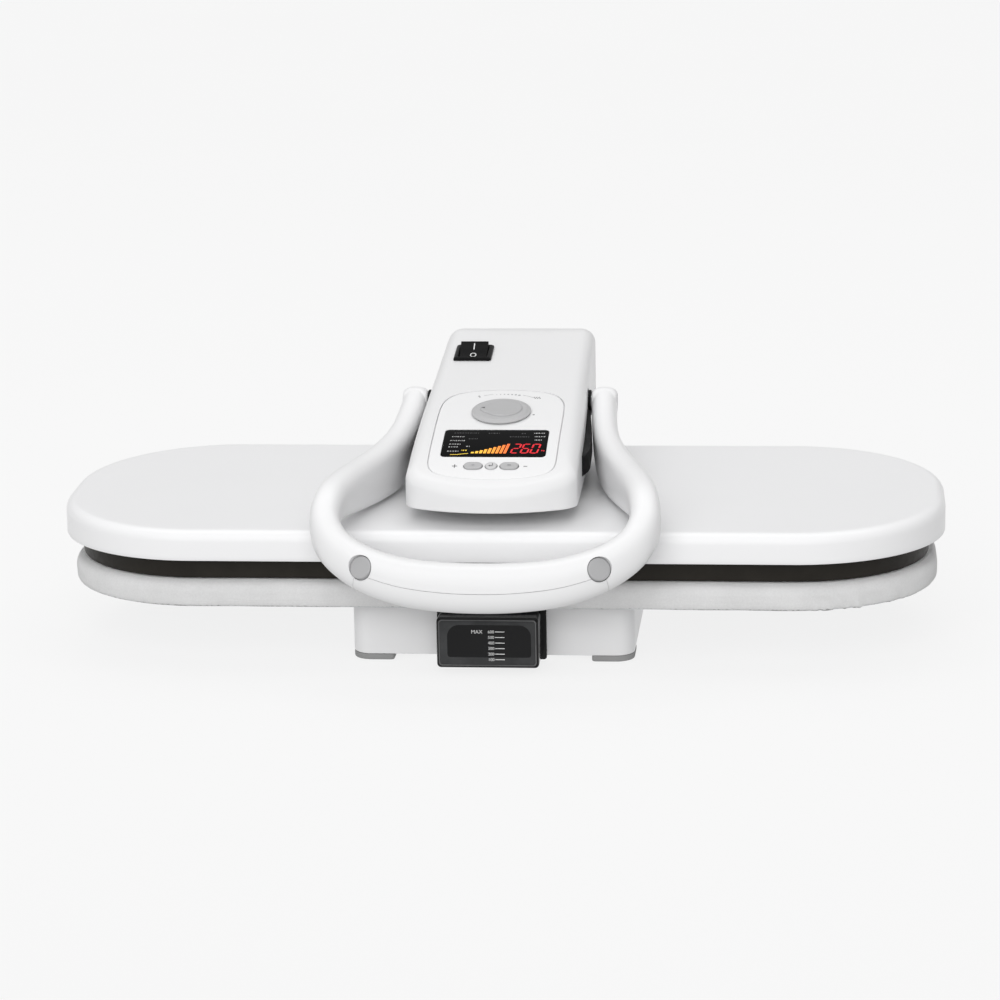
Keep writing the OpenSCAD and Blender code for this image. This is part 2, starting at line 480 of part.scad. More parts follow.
module handle_shaft() { color("silver") rod_x(pivot, shaft_d / 2, -77.4, 77.4); }
module steam_switches() { color([0.1, 0.1, 0.1]) for (s = [-1, 1]) at_thumb(s) translate([0, 0, -14]) cylinder(r = 6, h = 1.8); }
link_a = atan2(anchor[1] - pivot[1], anchor[0] - pivot[0]);
crank_c = pivot + crank_r * [cos(link_a + crank_lead), sin(link_a + crank_lead)];
module toggle_crank() { color("slategray") difference() {
  union() {
    both() slab_x(17, 21) union() {
      translate(pivot) circle(12);
      translate(crank_c) circle(7.5);
      translate(pivot) rotate(link_a + crank_lead) translate([0, -7.5]) square([crank_r, 15]);
    }
    rod_x(crank_c, 4, -21, 21);
  }
  rod_x(pivot, shaft_d / 2, -60, 60);
} }
module toggle_links() { color("slategray") both() slab_x(12, 16) difference() {
  union() { translate(crank_c) circle(8); translate(anchor) circle(8);
    translate(crank_c) rotate(atan2(anchor[1] - crank_c[1], anchor[0] - crank_c[0])) translate([0, -5.5]) square([norm(anchor - crank_c), 11]); }
  translate(crank_c) circle(4.05);
  translate(anchor) circle(5.1);
} }

// ---------- controls that move ----------
module dial_knob() { color("silver") on_top(0, dial_y) union() {
  translate([0, 0, 0.5]) cylinder(r = dial_r, h = 1.6);
  translate([0, 0, 2]) cylinder(r1 = dial_r - 1.6, r2 = dial_r - 3.2, h = 1.2);
  translate([1.6, 0.6, 3]) cylinder(r = dial_r - 8, h = 1.2);
  translate([0, 0, 3]) linear_extrude(1) polygon([[-17.6, -1.4], [-8, -5], [-8, 6], [-17.6, 2.2]]);
  translate([0, 0, -12]) cylinder(r = 3, h = 14);
} }
module plus_button() { color("silver") on_top(-key_x, key_y) union() { translate([0, 0, -4.6]) key_shape(key_l, key_hr, 5.8); translate([0, 0, -9]) cylinder(r = 2, h = 5); } }
module minus_button() { color("silver") on_top(key_x, key_y) union() { translate([0, 0, -4.6]) key_shape(key_l, key_hr, 5.8); translate([0, 0, -9]) cylinder(r = 2, h = 5); } }
module enter_button() { color("silver") on_top(0, key_y) union() { translate([0, 0, -4.6]) cylinder(r = enter_r, h = 5.8); translate([0, 0, -9]) cylinder(r = 2, h = 5); } }
module power_rocker() { color([0.03, 0.03, 0.03]) on_top(sw_x, sw_y) union() { rod_x([0, 1.5], 0.8, -12, 12); slab_x(-10.8, 10.8)
  polygon([[-10.8, 0.6], [-1, 2.4], [10.2, 7], [10.8, 6.2], [9, -1], [3, -4.6], [-3, -4.6], [-9, -3.4]]);
} }
module thumb_button(s) { at_thumb(s) union() { translate([0, 0, -6]) cylinder(r = thumb_r, h = 6.4);
  translate([0, 0, 0.2]) cylinder(r1 = thumb_r, r2 = thumb_r - 1, h = 0.8); translate([0, 0, -8]) cylinder(r = 2, h = 4); } }
module steam_button_left() { color("silver") thumb_button(-1); }
module steam_button_right() { color("silver") thumb_button(1); }

// ---------- water tank ----------
tank_y0 = base_y0 - tank_out;
tank_y1 = 50;
tank_z0 = 7.2; tank_z1 = 39.2;
lid_z = tank_z1 - tank_wall;          // underside of the tank's lid
module tank_body() { color([0.2, 0.2, 0.22, 0.6]) difference() {
  translate([-tank_w / 2, base_y0 - 0.4, tank_z0]) cube([tank_w, tank_y1 - base_y0 + 0.4, lid_z - tank_z0]);
  translate([-tank_w / 2 + tank_wall, base_y0 - 10, tank_z0 + tank_wall]) cube([tank_w - 2 * tank_wall, tank_y1 - base_y0 + 10 - tank_wall, 40]);
  translate([0, tank_y1 - 6, 23]) rotate([-90, 0, 0]) cylinder(r = 5, h = 12);
} }
module tank_lid() { color([0.2, 0.2, 0.22, 0.6]) difference() {
  translate([-tank_w / 2, base_y0 - 0.4, lid_z]) cube([tank_w, tank_y1 - base_y0 + 0.4, tank_wall]);
  // filling mouth
  translate([-24, -90, lid_z - 6]) cube([48, 34, 20]);
} }
module tank_front() { color([0.2, 0.2, 0.22, 0.6]) difference() {
  union() {
    translate([0, base_y0 - 3.2, 0]) rotate([90, 0, 0]) chain([
      [for (p = rr(tank_w, 36.6, 4, 0, 4)) p + [0, 23.3, 0]], [for (p = rr(tank_w, 36.6, 4, 0, 4)) p + [0, 23.3, 14]],
      [for (p = rr(tank_w, 37.4, 4, 0, 4)) p + [0, 23.5, tank_out - 5.2]],
      [for (p = rr(tank_w - 4, 33.4, 3, 0, 4)) p + [0, 23.5, tank_out - 3.2]]]);
    // rim that stands against the base's front
    translate([-tank_w / 2 - 3, base_y0 - 3.2, 2.4]) cube([tank_w + 6, 2.8, 40]);
  }
  translate([-tank_w / 2 + tank_wall, tank_y0 + tank_wall + 1, tank_z0 + tank_wall]) cube([tank_w - 2 * tank_wall, tank_out + 2, lid_z - tank_z0 - tank_wall]);
} }
module tank_outlet() { color("whitesmoke") difference() {
  union() { translate([0, tank_y1 - 5, 23]) rotate([-90, 0, 0]) cylinder(r = 5, h = 5);
    translate([0, tank_y1, 23]) rotate([-90, 0, 0]) cylinder(r = 7.5, h = 2);
    translate([0, tank_y1 + 2, 23]) rotate([-90, 0, 0]) cylinder(r = 5, h = 11); }
  translate([0, tank_y1 - 10, 23]) rotate([-90, 0, 0]) cylinder(r = 2.5, h = 40);
} }
module tank_seal() { color([0.1, 0.1, 0.1]) translate([0, tank_y1 + 11, 23]) rotate([-90, 0, 0]) rotate_extrude() translate([5.6, 0]) circle(0.6, $fn = 24); }

base_shell();
tank_bay();
hinge_column();
base_bottom_cover();
feet();
board_plate();
foam_pad();
pad_cover();
hinge_bracket();
hinge_pin();
pin_clips();
lift_springs();
water_pump();
valve_socket();
suction_hose();
feed_hose();
cord_gland();
power_board();
base_screws();
press_shell();
heating_plate();
plate_gasket();
heating_element();
steam_chamber_cover();
thermostat();
hanger_posts();
hanger_nuts();
levelling_springs();
arm_housing();
arm_cover();
cover_screws();
arm_frame();
hinge_bushes();
shaft_bushes();
control_panel();
display_window();
display_board();
dial_encoder();
switch_body();
steam_pipe();
handle_body();
grip_cover();
handle_shaft();
toggle_crank();
steam_switches();
grip_screws();
toggle_links();
dial_knob();
plus_button();
enter_button();
minus_button();
power_rocker();
steam_button_left();
steam_button_right();
tank_body();
tank_lid();
tank_front();
tank_outlet();
tank_seal();
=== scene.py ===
"""Looks of the steam ironing press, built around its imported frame. Lengths below are in millimetres unless they say metres."""
import math

import bmesh
import bpy
from mathutils import Matrix, Vector, noise


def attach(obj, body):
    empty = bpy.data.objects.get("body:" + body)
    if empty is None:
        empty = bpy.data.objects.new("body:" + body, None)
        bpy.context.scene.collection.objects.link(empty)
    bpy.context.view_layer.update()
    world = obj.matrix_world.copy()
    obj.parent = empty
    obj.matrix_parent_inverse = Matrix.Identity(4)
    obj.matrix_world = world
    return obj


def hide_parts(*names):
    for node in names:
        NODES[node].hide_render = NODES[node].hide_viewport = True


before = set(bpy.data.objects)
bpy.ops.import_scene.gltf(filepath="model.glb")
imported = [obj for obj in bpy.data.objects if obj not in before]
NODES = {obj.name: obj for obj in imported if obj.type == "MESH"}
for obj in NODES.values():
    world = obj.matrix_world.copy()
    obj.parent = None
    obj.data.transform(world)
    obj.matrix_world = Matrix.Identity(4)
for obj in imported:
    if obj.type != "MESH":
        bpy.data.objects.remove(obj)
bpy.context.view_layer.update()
SCENE = bpy.context.scene
MM = 0.001
rad = math.radians


# ------------------------------------------------------------------ camera
def set_camera():
    yaw, pitch, roll = rad(-5.82), rad(13.716), rad(-1.097)
    fw = Vector((math.sin(yaw) * math.cos(pitch), math.cos(yaw) * math.cos(pitch), -math.sin(pitch)))
    right = Vector((math.cos(yaw), -math.sin(yaw), 0))
    up = right.cross(fw)
    r2 = right * math.cos(roll) + up * math.sin(roll)
    u2 = up * math.cos(roll) - right * math.sin(roll)
    data = bpy.data.cameras.new("camera")
    data.sensor_width = 36
    data.lens = 3307.9 / 1000 * 36
    data.clip_start, data.clip_end = 0.05, 100
    cam = bpy.data.objects.new("camera", data)
    SCENE.collection.objects.link(cam)
    pos = Vector((0.243, -2.4152, 0.688))
    cam.matrix_world = Matrix((
        (r2.x, u2.x, -fw.x, pos.x), (r2.y, u2.y, -fw.y, pos.y), (r2.z, u2.z, -fw.z, pos.z), (0, 0, 0, 1)))
    SCENE.camera = cam


set_camera()


# ------------------------------------------------------------------ materials
def tree_of(name):
    m = bpy.data.materials.new(name)
    m.use_nodes = True
    nt = m.node_tree
    bsdf = nt.nodes["Principled BSDF"]
    co = nt.nodes.new("ShaderNodeTexCoord")
    return m, nt, bsdf, co.outputs["Object"]


def noise_node(nt, vec, scale, detail=3.0, rough=0.55, stretch=None):
    if stretch:
        mp = nt.nodes.new("ShaderNodeMapping")
        mp.inputs["Scale"].default_value = stretch
        nt.links.new(vec, mp.inputs["Vector"])
        vec = mp.outputs["Vector"]
    n = nt.nodes.new("ShaderNodeTexNoise")
    n.inputs["Scale"].default_value = scale
    n.inputs["Detail"].default_value = detail
    n.inputs["Roughness"].default_value = rough
    nt.links.new(vec, n.inputs["Vector"])
    return n.outputs["Fac"]


def ramp(nt, fac, stops):
    r = nt.nodes.new("ShaderNodeValToRGB")
    while len(r.color_ramp.elements) < len(stops):
        r.color_ramp.elements.new(0.5)
    for e, (p, c) in zip(r.color_ramp.elements, stops):
        e.position = p
        e.color = (*c, 1)
    nt.links.new(fac, r.inputs["Fac"])
    return r.outputs["Color"]


def spread(nt, fac, lo, hi, a=0.3, b=0.7):
    m = nt.nodes.new("ShaderNodeMapRange")
    m.inputs["From Min"].default_value, m.inputs["From Max"].default_value = a, b
    m.inputs["To Min"].default_value, m.inputs["To Max"].default_value = lo, hi
    nt.links.new(fac, m.inputs["Value"])
    return m.outputs["Result"]


def add_bump(nt, bsdf, height, strength, distance):
    b = nt.nodes.new("ShaderNodeBump")
    b.inputs["Strength"].default_value = strength
    b.inputs["Distance"].default_value = distance
    nt.links.new(height, b.inputs["Height"])
    nt.links.new(b.outputs["Normal"], bsdf.inputs["Normal"])


def tint(c, k):
    return tuple(max(0.0, min(1.0, x * k)) for x in c)


def plastic(name, col, rough=0.3, var=0.02, drough=0.05, grain=2600, bump=0.06, dist=0.00006, coat=0.0, coat_rough=0.1, metal=0.0,
            spec=0.5, patch=24, trans=0.0, stretch=None, wear=0.0):
    """A moulded, painted or metal surface: a slow colour drift, a finer roughness drift and a fine moulded grain."""
    m, nt, bsdf, vec = tree_of(name)
    slow = noise_node(nt, vec, patch, 4.0, 0.6, stretch)
    nt.links.new(ramp(nt, slow, [(0.3, tint(col, 1 - var)), (0.7, tint(col, 1 + var))]), bsdf.inputs["Base Color"])
    mid = noise_node(nt, vec, patch * 5.5, 5.0, 0.65, stretch)
    nt.links.new(spread(nt, mid, rough - drough, rough + drough), bsdf.inputs["Roughness"])
    fine = noise_node(nt, vec, grain, 2.0, 0.5, stretch)
    add_bump(nt, bsdf, fine, bump, dist)
    bsdf.inputs["Metallic"].default_value = metal
    bsdf.inputs["Specular IOR Level"].default_value = spec
    if coat:
        bsdf.inputs["Coat Weight"].default_value = coat
        bsdf.inputs["Coat Roughness"].default_value = coat_rough
    if trans:
        bsdf.inputs["Transmission Weight"].default_value = trans
        bsdf.inputs["IOR"].default_value = 1.5
    return m


def cloth_mat(name, lo, hi, pitch=1400, bump=0.5, dist=0.00025, fuzz=420, edge=None, pucker=False):
    """A brushed woven cloth: warp and weft as crossed bands, a felted fuzz over them, and slow shade patches."""
    m, nt, bsdf, vec = tree_of(name)
    bands = []
    for axis in ("X", "Y", "Z"):
        w = nt.nodes.new("ShaderNodeTexWave")
        w.bands_direction = axis
        w.inputs["Scale"].default_value = pitch
        w.inputs["Distortion"].default_value = 1.6
        w.inputs["Detail"].default_value = 2.0
        w.inputs["Detail Scale"].default_value = 3.0
        nt.links.new(vec, w.inputs["Vector"])
        bands.append(w.outputs["Fac"])
    add1 = nt.nodes.new("ShaderNodeMath"); add1.operation = "ADD"
    nt.links.new(bands[0], add1.inputs[0]); nt.links.new(bands[1], add1.inputs[1])
    add2 = nt.nodes.new("ShaderNodeMath"); add2.operation = "ADD"
    nt.links.new(add1.outputs[0], add2.inputs[0]); nt.links.new(bands[2], add2.inputs[1])
    felt = noise_node(nt, vec, fuzz, 6.0, 0.72)
    mix = nt.nodes.new("ShaderNodeMath"); mix.operation = "MULTIPLY_ADD"
    mix.inputs[1].default_value = 3.2
    nt.links.new(felt, mix.inputs[0]); nt.links.new(add2.outputs[0], mix.inputs[2])
    patch = noise_node(nt, vec, 38, 4.0, 0.6)
    shade = nt.nodes.new("ShaderNodeMath"); shade.operation = "MULTIPLY_ADD"
    shade.inputs[1].default_value = 0.55
    nt.links.new(felt, shade.inputs[0]); nt.links.new(spread(nt, patch, 0.14, 0.32, 0.3, 0.7), shade.inputs[2])
    tone, stops = shade.outputs[0], [(0.2, lo), (0.75, hi)]
    if edge:
        # painted shade along the drawn lower edge: an uneven dark line standing in for the shadow where the cover
        # turns under to the hem
        sep = nt.nodes.new("ShaderNodeSeparateXYZ")
        nt.links.new(vec, sep.inputs[0])
        ragged = noise_node(nt, vec, 330, 2.0, 0.5)
        low = nt.nodes.new("ShaderNodeMath"); low.operation = "MULTIPLY_ADD"
        low.inputs[1].default_value = 0.0032
        nt.links.new(ragged, low.inputs[0]); nt.links.new(sep.outputs["Z"], low.inputs[2])
        line = spread(nt, low.outputs[0], 0.75, 0.0, 0.0455, 0.0470)
        less = nt.nodes.new("ShaderNodeMath"); less.operation = "SUBTRACT"
        nt.links.new(tone, less.inputs[0]); nt.links.new(line, less.inputs[1])
        tone, stops = less.outputs[0], [(0.0, edge)] + stops
    nt.links.new(ramp(nt, tone, stops), bsdf.inputs["Base Color"])
    nt.links.new(spread(nt, felt, 0.82, 0.98), bsdf.inputs["Roughness"])
    height = mix.outputs[0]
    if pucker:
        # fine gathers over the lower edge, most of them near the right-hand front corner
        folds = noise_node(nt, vec, 210, 2.0, 0.5, (1, 1, 0.35))
        sep2 = nt.nodes.new("ShaderNodeSeparateXYZ")
        nt.links.new(vec, sep2.inputs[0])
        zone = nt.nodes.new("ShaderNodeMath"); zone.operation = "MULTIPLY"
        nt.links.new(spread(nt, sep2.outputs["Z"], 1.0, 0.0, 0.0455, 0.0525), zone.inputs[0])
        nt.links.new(spread(nt, sep2.outputs["X"], 1.5, 7.0, 0.170, 0.235), zone.inputs[1])
        deep = nt.nodes.new("ShaderNodeMath"); deep.operation = "MULTIPLY_ADD"
        nt.links.new(folds, deep.inputs[0]); nt.links.new(zone.outputs[0], deep.inputs[1]); nt.links.new(height, deep.inputs[2])
        height = deep.outputs[0]
    add_bump(nt, bsdf, height, bump, dist)
    bsdf.inputs["Sheen Weight"].default_value = 0.35
    bsdf.inputs["Sheen Roughness"].default_value = 0.5
    bsdf.inputs["Specular IOR Level"].default_value = 0.2
    return m


def glow_mat(name, a, b, strength, axis="X", lo=-0.01, hi=0.01):
    """A lit segment: its colour runs from a to b along one axis between lo and hi (metres)."""
    m, nt, bsdf, vec = tree_of(name)
    sep = nt.nodes.new("ShaderNodeSeparateXYZ")
    nt.links.new(vec, sep.inputs[0])
    t = spread(nt, sep.outputs[axis], 0.0, 1.0, lo, hi)
    col = ramp(nt, t, [(0.0, a), (1.0, b)])
    nt.links.new(col, bsdf.inputs["Base Color"])
    nt.links.new(col, bsdf.inputs["Emission Color"])
    bsdf.inputs["Emission Strength"].default_value = strength
    bsdf.inputs["Roughness"].default_value = 0.35
    return m


def print_mat(name, col, var=0.08):
    """Printed ink: slightly uneven, matt."""
    return plastic(name, col, rough=0.55, var=var, drough=0.08, grain=5200, bump=0.03, patch=420)


MAT = {}
WHITE = (0.83, 0.83, 0.837)
MAT["white_plastic"] = plastic("white_plastic", WHITE, 0.30, 0.004, 0.015, 900, 0.02, 0.00002, patch=9)
# painted shade: a darker copy of the white plastic for the base, which sits in the shadow under the pad
MAT["white_base_shaded"] = plastic("white_base_shaded", (0.79, 0.79, 0.795), 0.32, 0.004, 0.015, 900, 0.02, 0.00002, patch=9)
# painted shade: a darker copy of the white plastic for the housing, toning down its tilted top, which catches more of
# the front light
MAT["white_housing_shaded"] = plastic("white_housing_shaded", (0.765, 0.765, 0.77), 0.32, 0.004, 0.015, 900, 0.02, 0.00002, patch=9)
MAT["white_grip"] = plastic("white_grip", (0.81, 0.81, 0.815), 0.34, 0.004, 0.015, 900, 0.02, 0.00002, patch=9)
MAT["panel_plastic"] = plastic("panel_plastic", (0.785, 0.785, 0.79), 0.40, 0.006, 0.02, 1400, 0.04, 0.00003)
MAT["inner_plastic"] = plastic("inner_plastic", (0.66, 0.66, 0.66), 0.5, 0.03, 0.07, 1500, 0.15, 0.0001)
MAT["grey_plastic"] = plastic("grey_plastic", (0.40, 0.40, 0.405), 0.42, 0.03, 0.05, 2600, 0.12, 0.00006)
MAT["key_plastic"] = plastic("key_plastic", (0.43, 0.43, 0.435), 0.40, 0.03, 0.05, 3600, 0.10, 0.00005)
MAT["knob_plastic"] = plastic("knob_plastic", (0.44, 0.44, 0.445), 0.36, 0.02, 0.05, 3000, 0.08, 0.00005)
MAT["knob_pad"] = plastic("knob_pad", (0.42, 0.42, 0.425), 0.34, 0.03, 0.05, 3000, 0.08, 0.00005, stretch=(1, 6, 1))
MAT["key_cap"] = plastic("key_cap", (0.56, 0.56, 0.565), 0.36, 0.02, 0.05, 3000, 0.06, 0.00005)
MAT["black_plastic"] = plastic("black_plastic", (0.005, 0.005, 0.0055), 0.34, 0.15, 0.07, 2200, 0.12, 0.00006, spec=0.12)
MAT["smoked_plastic"] = plastic("smoked_plastic", (0.007, 0.007, 0.0075), 0.12, 0.15, 0.03, 900, 0.02, 0.00003, trans=0.12, spec=0.15)
# painted light: a paler copy of the smoked plastic for the tank's rim, standing in for light seen through the wall end
# on
MAT["smoked_rim_painted_light"] = plastic("smoked_rim_painted_light", (0.031, 0.032, 0.033), 0.16, 0.34, 0.04, 900, 0.02, 0.00003, patch=60, spec=0.3)
# painted highlight: a paler copy of the smoked plastic for the bead along the tank face's edge
MAT["smoked_bead_painted_highlight"] = plastic("smoked_bead_painted_highlight", (0.088, 0.089, 0.090), 0.14, 0.30, 0.04, 900, 0.02, 0.00003, patch=40, spec=0.4)
MAT["window"] = plastic("window", (0.003, 0.003, 0.0033), 0.14, 0.15, 0.03, 900, 0.01, 0.00003, spec=0.05)
MAT["dark_plate"] = plastic("dark_plate", (0.019, 0.0168, 0.0138), 0.46, 0.18, 0.08, 1800, 0.25, 0.00012, patch=40, spec=0.12)
# its edge colour is painted shade: a dark line along the cover's lower edge
MAT["pad_cloth"] = cloth_mat("pad_cloth", (0.70, 0.70, 0.70), (0.87, 0.87, 0.87), fuzz=620, edge=(0.30, 0.30, 0.30), pucker=True)
MAT["hem_cloth"] = cloth_mat("hem_cloth", (0.50, 0.50, 0.50), (0.66, 0.66, 0.66), pitch=2200, bump=0.7)
MAT["foam"] = plastic("foam", (0.72, 0.68, 0.52), 0.92, 0.08, 0.05, 420, 0.9, 0.0006)
MAT["board_metal"] = plastic("board_metal", (0.58, 0.59, 0.60), 0.36, 0.05, 0.08, 900, 0.2, 0.00008, metal=1.0, stretch=(1, 14, 1))
MAT["steel"] = plastic("steel", (0.46, 0.47, 0.49), 0.34, 0.06, 0.08, 1400, 0.2, 0.00006, metal=1.0, stretch=(1, 8, 8))
MAT["dark_steel"] = plastic("dark_steel", (0.055, 0.06, 0.068), 0.46, 0.12, 0.1, 1500, 0.3, 0.0001)
MAT["bright_steel"] = plastic("bright_steel", (0.62, 0.63, 0.65), 0.2, 0.04, 0.06, 2200, 0.1, 0.00004, metal=1.0, stretch=(1, 20, 20))
MAT["bronze"] = plastic("bronze", (0.50, 0.33, 0.12), 0.35, 0.1, 0.1, 1600, 0.2, 0.00006, metal=1.0)
MAT["rubber_grey"] = plastic("rubber_grey", (0.27, 0.27, 0.27), 0.72, 0.06, 0.08, 1400, 0.35, 0.00012)
MAT["rubber_black"] = plastic("rubber_black", (0.018, 0.018, 0.018), 0.7, 0.15, 0.1, 1400, 0.35, 0.00012)
MAT["hose"] = plastic("hose", (0.55, 0.55, 0.53), 0.45, 0.05, 0.08, 900, 0.2, 0.0001)
MAT["circuit"] = plastic("circuit", (0.02, 0.11, 0.035), 0.4, 0.25, 0.1, 700, 0.3, 0.0001, patch=160)
MAT["ceramic"] = plastic("ceramic", (0.55, 0.46, 0.32), 0.6, 0.08, 0.1, 1200, 0.3, 0.0001)
MAT["ink_grey"] = print_mat("ink_grey", (0.10, 0.10, 0.105))
MAT["ink_pale"] = print_mat("ink_pale", (0.36, 0.36, 0.37))
MAT["ink_white"] = print_mat("ink_white", (0.72, 0.72, 0.72))
MAT["ink_dim"] = print_mat("ink_dim", (0.06, 0.06, 0.062), 0.3)
MAT["lit_pale"] = glow_mat("lit_pale", (0.30, 0.30, 0.30), (0.42, 0.42, 0.42), 0.35, "X", -0.036, 0.036)
MAT["lit_bars"] = glow_mat("lit_bars", (0.82, 0.50, 0.035), (0.74, 0.12, 0.015), 0.60, "X", -0.016, 0.010)
MAT["lit_red"] = glow_mat("lit_red", (0.46, 0.001, 0.008), (0.52, 0.001, 0.010), 0.72, "X", 0.010, 0.036)
MAT["lit_yellow"] = glow_mat("lit_yellow", (0.55, 0.36, 0.02), (0.70, 0.50, 0.05), 0.5, "X", -0.034, -0.02)


# ------------------------------------------------------------------ mesh helpers
def shade(o, angle=38):
    me = o.data
    me.polygons.foreach_set("use_smooth", [True] * len(me.polygons))
    me.set_sharp_from_angle(angle=rad(angle))
    me.update()


def piece(name, verts, faces, mat, angle=38, fix=True):
    me = bpy.data.meshes.new(name)
    me.from_pydata([(x * MM, y * MM, z * MM) for x, y, z in verts], [], faces)
    if fix:
        bm = bmesh.new(); bm.from_mesh(me)
        bmesh.ops.remove_doubles(bm, verts=bm.verts, dist=1e-7)
        bmesh.ops.dissolve_degenerate(bm, edges=bm.edges, dist=1e-7)
        bmesh.ops.recalc_face_normals(bm, faces=bm.faces)
        bm.to_mesh(me); bm.free()
    me.update()
    o = bpy.data.objects.new(name, me)
    SCENE.collection.objects.link(o)
    if mat:
        me.materials.append(mat)
    shade(o, angle)
    return o


def loft(rings, cap0=True, cap1=True, zip_caps=False):
    m = len(rings[0]); v = [p for r in rings for p in r]; f = []
    for j in range(len(rings) - 1):
        for i in range(m):
            a, b = j * m + i, j * m + (i + 1) % m
            f.append((a, b, b + m, a + m))
    def cap(k, flip):
        if zip_caps:
            h = m // 2
            quads = [(k, k + 1, k + m - 1)] + [(k + i, k + i + 1, k + m - i - 1, k + m - i) for i in range(1, h - 1)] + [(k + h - 1, k + h, k + h + 1)]
        else:
            quads = [tuple(range(k, k + m))]
        return [tuple(reversed(q)) if flip else q for q in quads]
    if cap0: f += cap(0, True)
    if cap1: f += cap((len(rings) - 1) * m, False)
    return v, f


def cut(o, cutters, op="DIFFERENCE", angle=38):
    """Applies exact booleans to o, one after the other, and drops the cutters."""
    for c in cutters:
        md = o.modifiers.new("cut", "BOOLEAN")
        md.operation, md.solver, md.object = op, "EXACT", c
        dg = bpy.context.evaluated_depsgraph_get()
        me = bpy.data.meshes.new_from_object(o.evaluated_get(dg))
        o.modifiers.clear()
        old = o.data
        o.data = me
        me.name = old.name
        bpy.data.meshes.remove(old)
    for c in cutters:
        d = c.data
        bpy.data.objects.remove(c); bpy.data.meshes.remove(d)
    bm = bmesh.new(); bm.from_mesh(o.data)
    bmesh.ops.remove_doubles(bm, verts=bm.verts, dist=2e-7)
    bmesh.ops.dissolve_degenerate(bm, edges=bm.edges, dist=2e-7)
    bm.to_mesh(o.data); bm.free()
    shade(o, angle)
    return o


def join(objs):
    """One cutter out of several that don't touch each other."""
    bm = bmesh.new()
    for c in objs:
        bm.from_mesh(c.data)
    me = bpy.data.meshes.new("cutter")
    bm.to_mesh(me); bm.free()
    for c in objs:
        d = c.data
        bpy.data.objects.remove(c); bpy.data.meshes.remove(d)
    o = bpy.data.objects.new("cutter", me)
    SCENE.collection.objects.link(o)
    return o


def rod(a, b, r, n=40, name="cutter"):
    """A plain round bar from a to b, used for cutting."""
    a, b = Vector(a), Vector(b)
    t = (b - a).normalized()
    e1 = t.cross(Vector((0, 0, 1))) if abs(t.z) < 0.9 else t.cross(Vector((1, 0, 0)))
    e1.normalize(); e2 = t.cross(e1)
    rings = [[tuple(p + r * math.cos(2 * math.pi * k / n) * e1 + r * math.sin(2 * math.pi * k / n) * e2) for k in range(n)] for p in (a, b)]
    return piece(name, *loft(rings), None)


def box_cut(lo, hi):
    (x0, y0, z0), (x1, y1, z1) = lo, hi
    rings = [[(x0, y0, z), (x1, y0, z), (x1, y1, z), (x0, y1, z)] for z in (z0, z1)]
    return piece("cutter", *loft(rings), None)


def bevel(o, width, segments=3, angle=35, shade_angle=50):
    """A real bevel along the sharp edges, applied to the mesh."""
    md = o.modifiers.new("bevel", "BEVEL")
    md.width, md.segments, md.limit_method, md.angle_limit = width * MM, segments, "ANGLE", rad(angle)
    dg = bpy.context.evaluated_depsgraph_get()
    me = bpy.data.meshes.new_from_object(o.evaluated_get(dg))
    o.modifiers.clear()
    old = o.data; o.data = me; me.name = old.name
    bpy.data.meshes.remove(old)
    shade(o, shade_angle)
    return o


def done(o, body, slot, *nodes):
    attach(o, body)
    if nodes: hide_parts(*nodes)
    return o


def cr(p, n):
    """A smooth curve through the points p."""
    out = []
    k = len(p)
    for i in range(k - 1):
        a, b, c, d = p[max(i - 1, 0)], p[i], p[i + 1], p[min(i + 2, k - 1)]
        for j in range(n):
            t = j / n
            out.append(tuple(0.5 * (2 * q + (r - s) * t + (2 * s - 5 * q + 4 * r - u) * t * t + (3 * q - s - 3 * r + u) * t ** 3)
                             for s, q, r, u in zip(a, b, c, d)))
    out.append(tuple(p[-1]))
    return out


def resample(p, n):
    """n + 1 points evenly along the open line p."""
    d = [0.0]
    for a, b in zip(p, p[1:]):
        d.append(d[-1] + math.dist(a, b))
    out, j = [], 0
    for i in range(n + 1):
        s = d[-1] * i / n
        while j < len(d) - 2 and d[j + 1] < s:
            j += 1
        t = (s - d[j]) / max(d[j + 1] - d[j], 1e-9)
        out.append(tuple(a + (b - a) * t for a, b in zip(p[j], p[j + 1])))
    return out


# outline of the head, pulled in by d, at height z: straight runs are divided too
def head_ring(d, z, nc=30, nl=40, ns=4, zf=None):
    r = max(112 - d, 0.35 * (128 - d))
    hx, hy = 330 - d - r, 128 - d - r
    out = []
    for q, (sx, sy) in enumerate(((1, 1), (-1, 1), (-1, -1), (1, -1))):
        for i in range(nc + 1):
            a = math.pi / 2 * (q + i / nc)
            out.append((sx * hx + r * math.cos(a), sy * hy + r * math.sin(a), z))
        nx, ny = ((-1, 1), (-1, -1), (1, -1), (1, 1))[q]
        a = math.pi / 2 * (q + 1)
        p0 = out[-1]
        p1 = (nx * hx + r * math.cos(a), ny * hy + r * math.sin(a), z)
        k = nl if q % 2 == 0 else ns
        for i in range(1, k):
            out.append(tuple(u + (v - u) * i / k for u, v in zip(p0, p1)))
    return out


def rrect(hx, hy, r, n=8):
    """Half sizes hx, hy, corner radius r, anticlockwise from the right side."""
    out = []
    for q, (sx, sy) in enumerate(((1, 1), (-1, 1), (-1, -1), (1, -1))):
        for i in range(n + 1):
            a = math.pi / 2 * (q + i / n)
            out.append((sx * (hx - r) + r * math.cos(a), sy * (hy - r) + r * math.sin(a)))
    return out


# ------------------------------------------------------------------ head shell, plate
POSTS = [(-30, -45), (30, -45), (-30, 45), (30, 45)]


def fall(y):
    """How far the shell's top has dropped at y."""
    return 8.6 * (128 - y) / 256


def sloped(ring):
    return [(x, y, z - fall(y)) for x, y, z in ring]


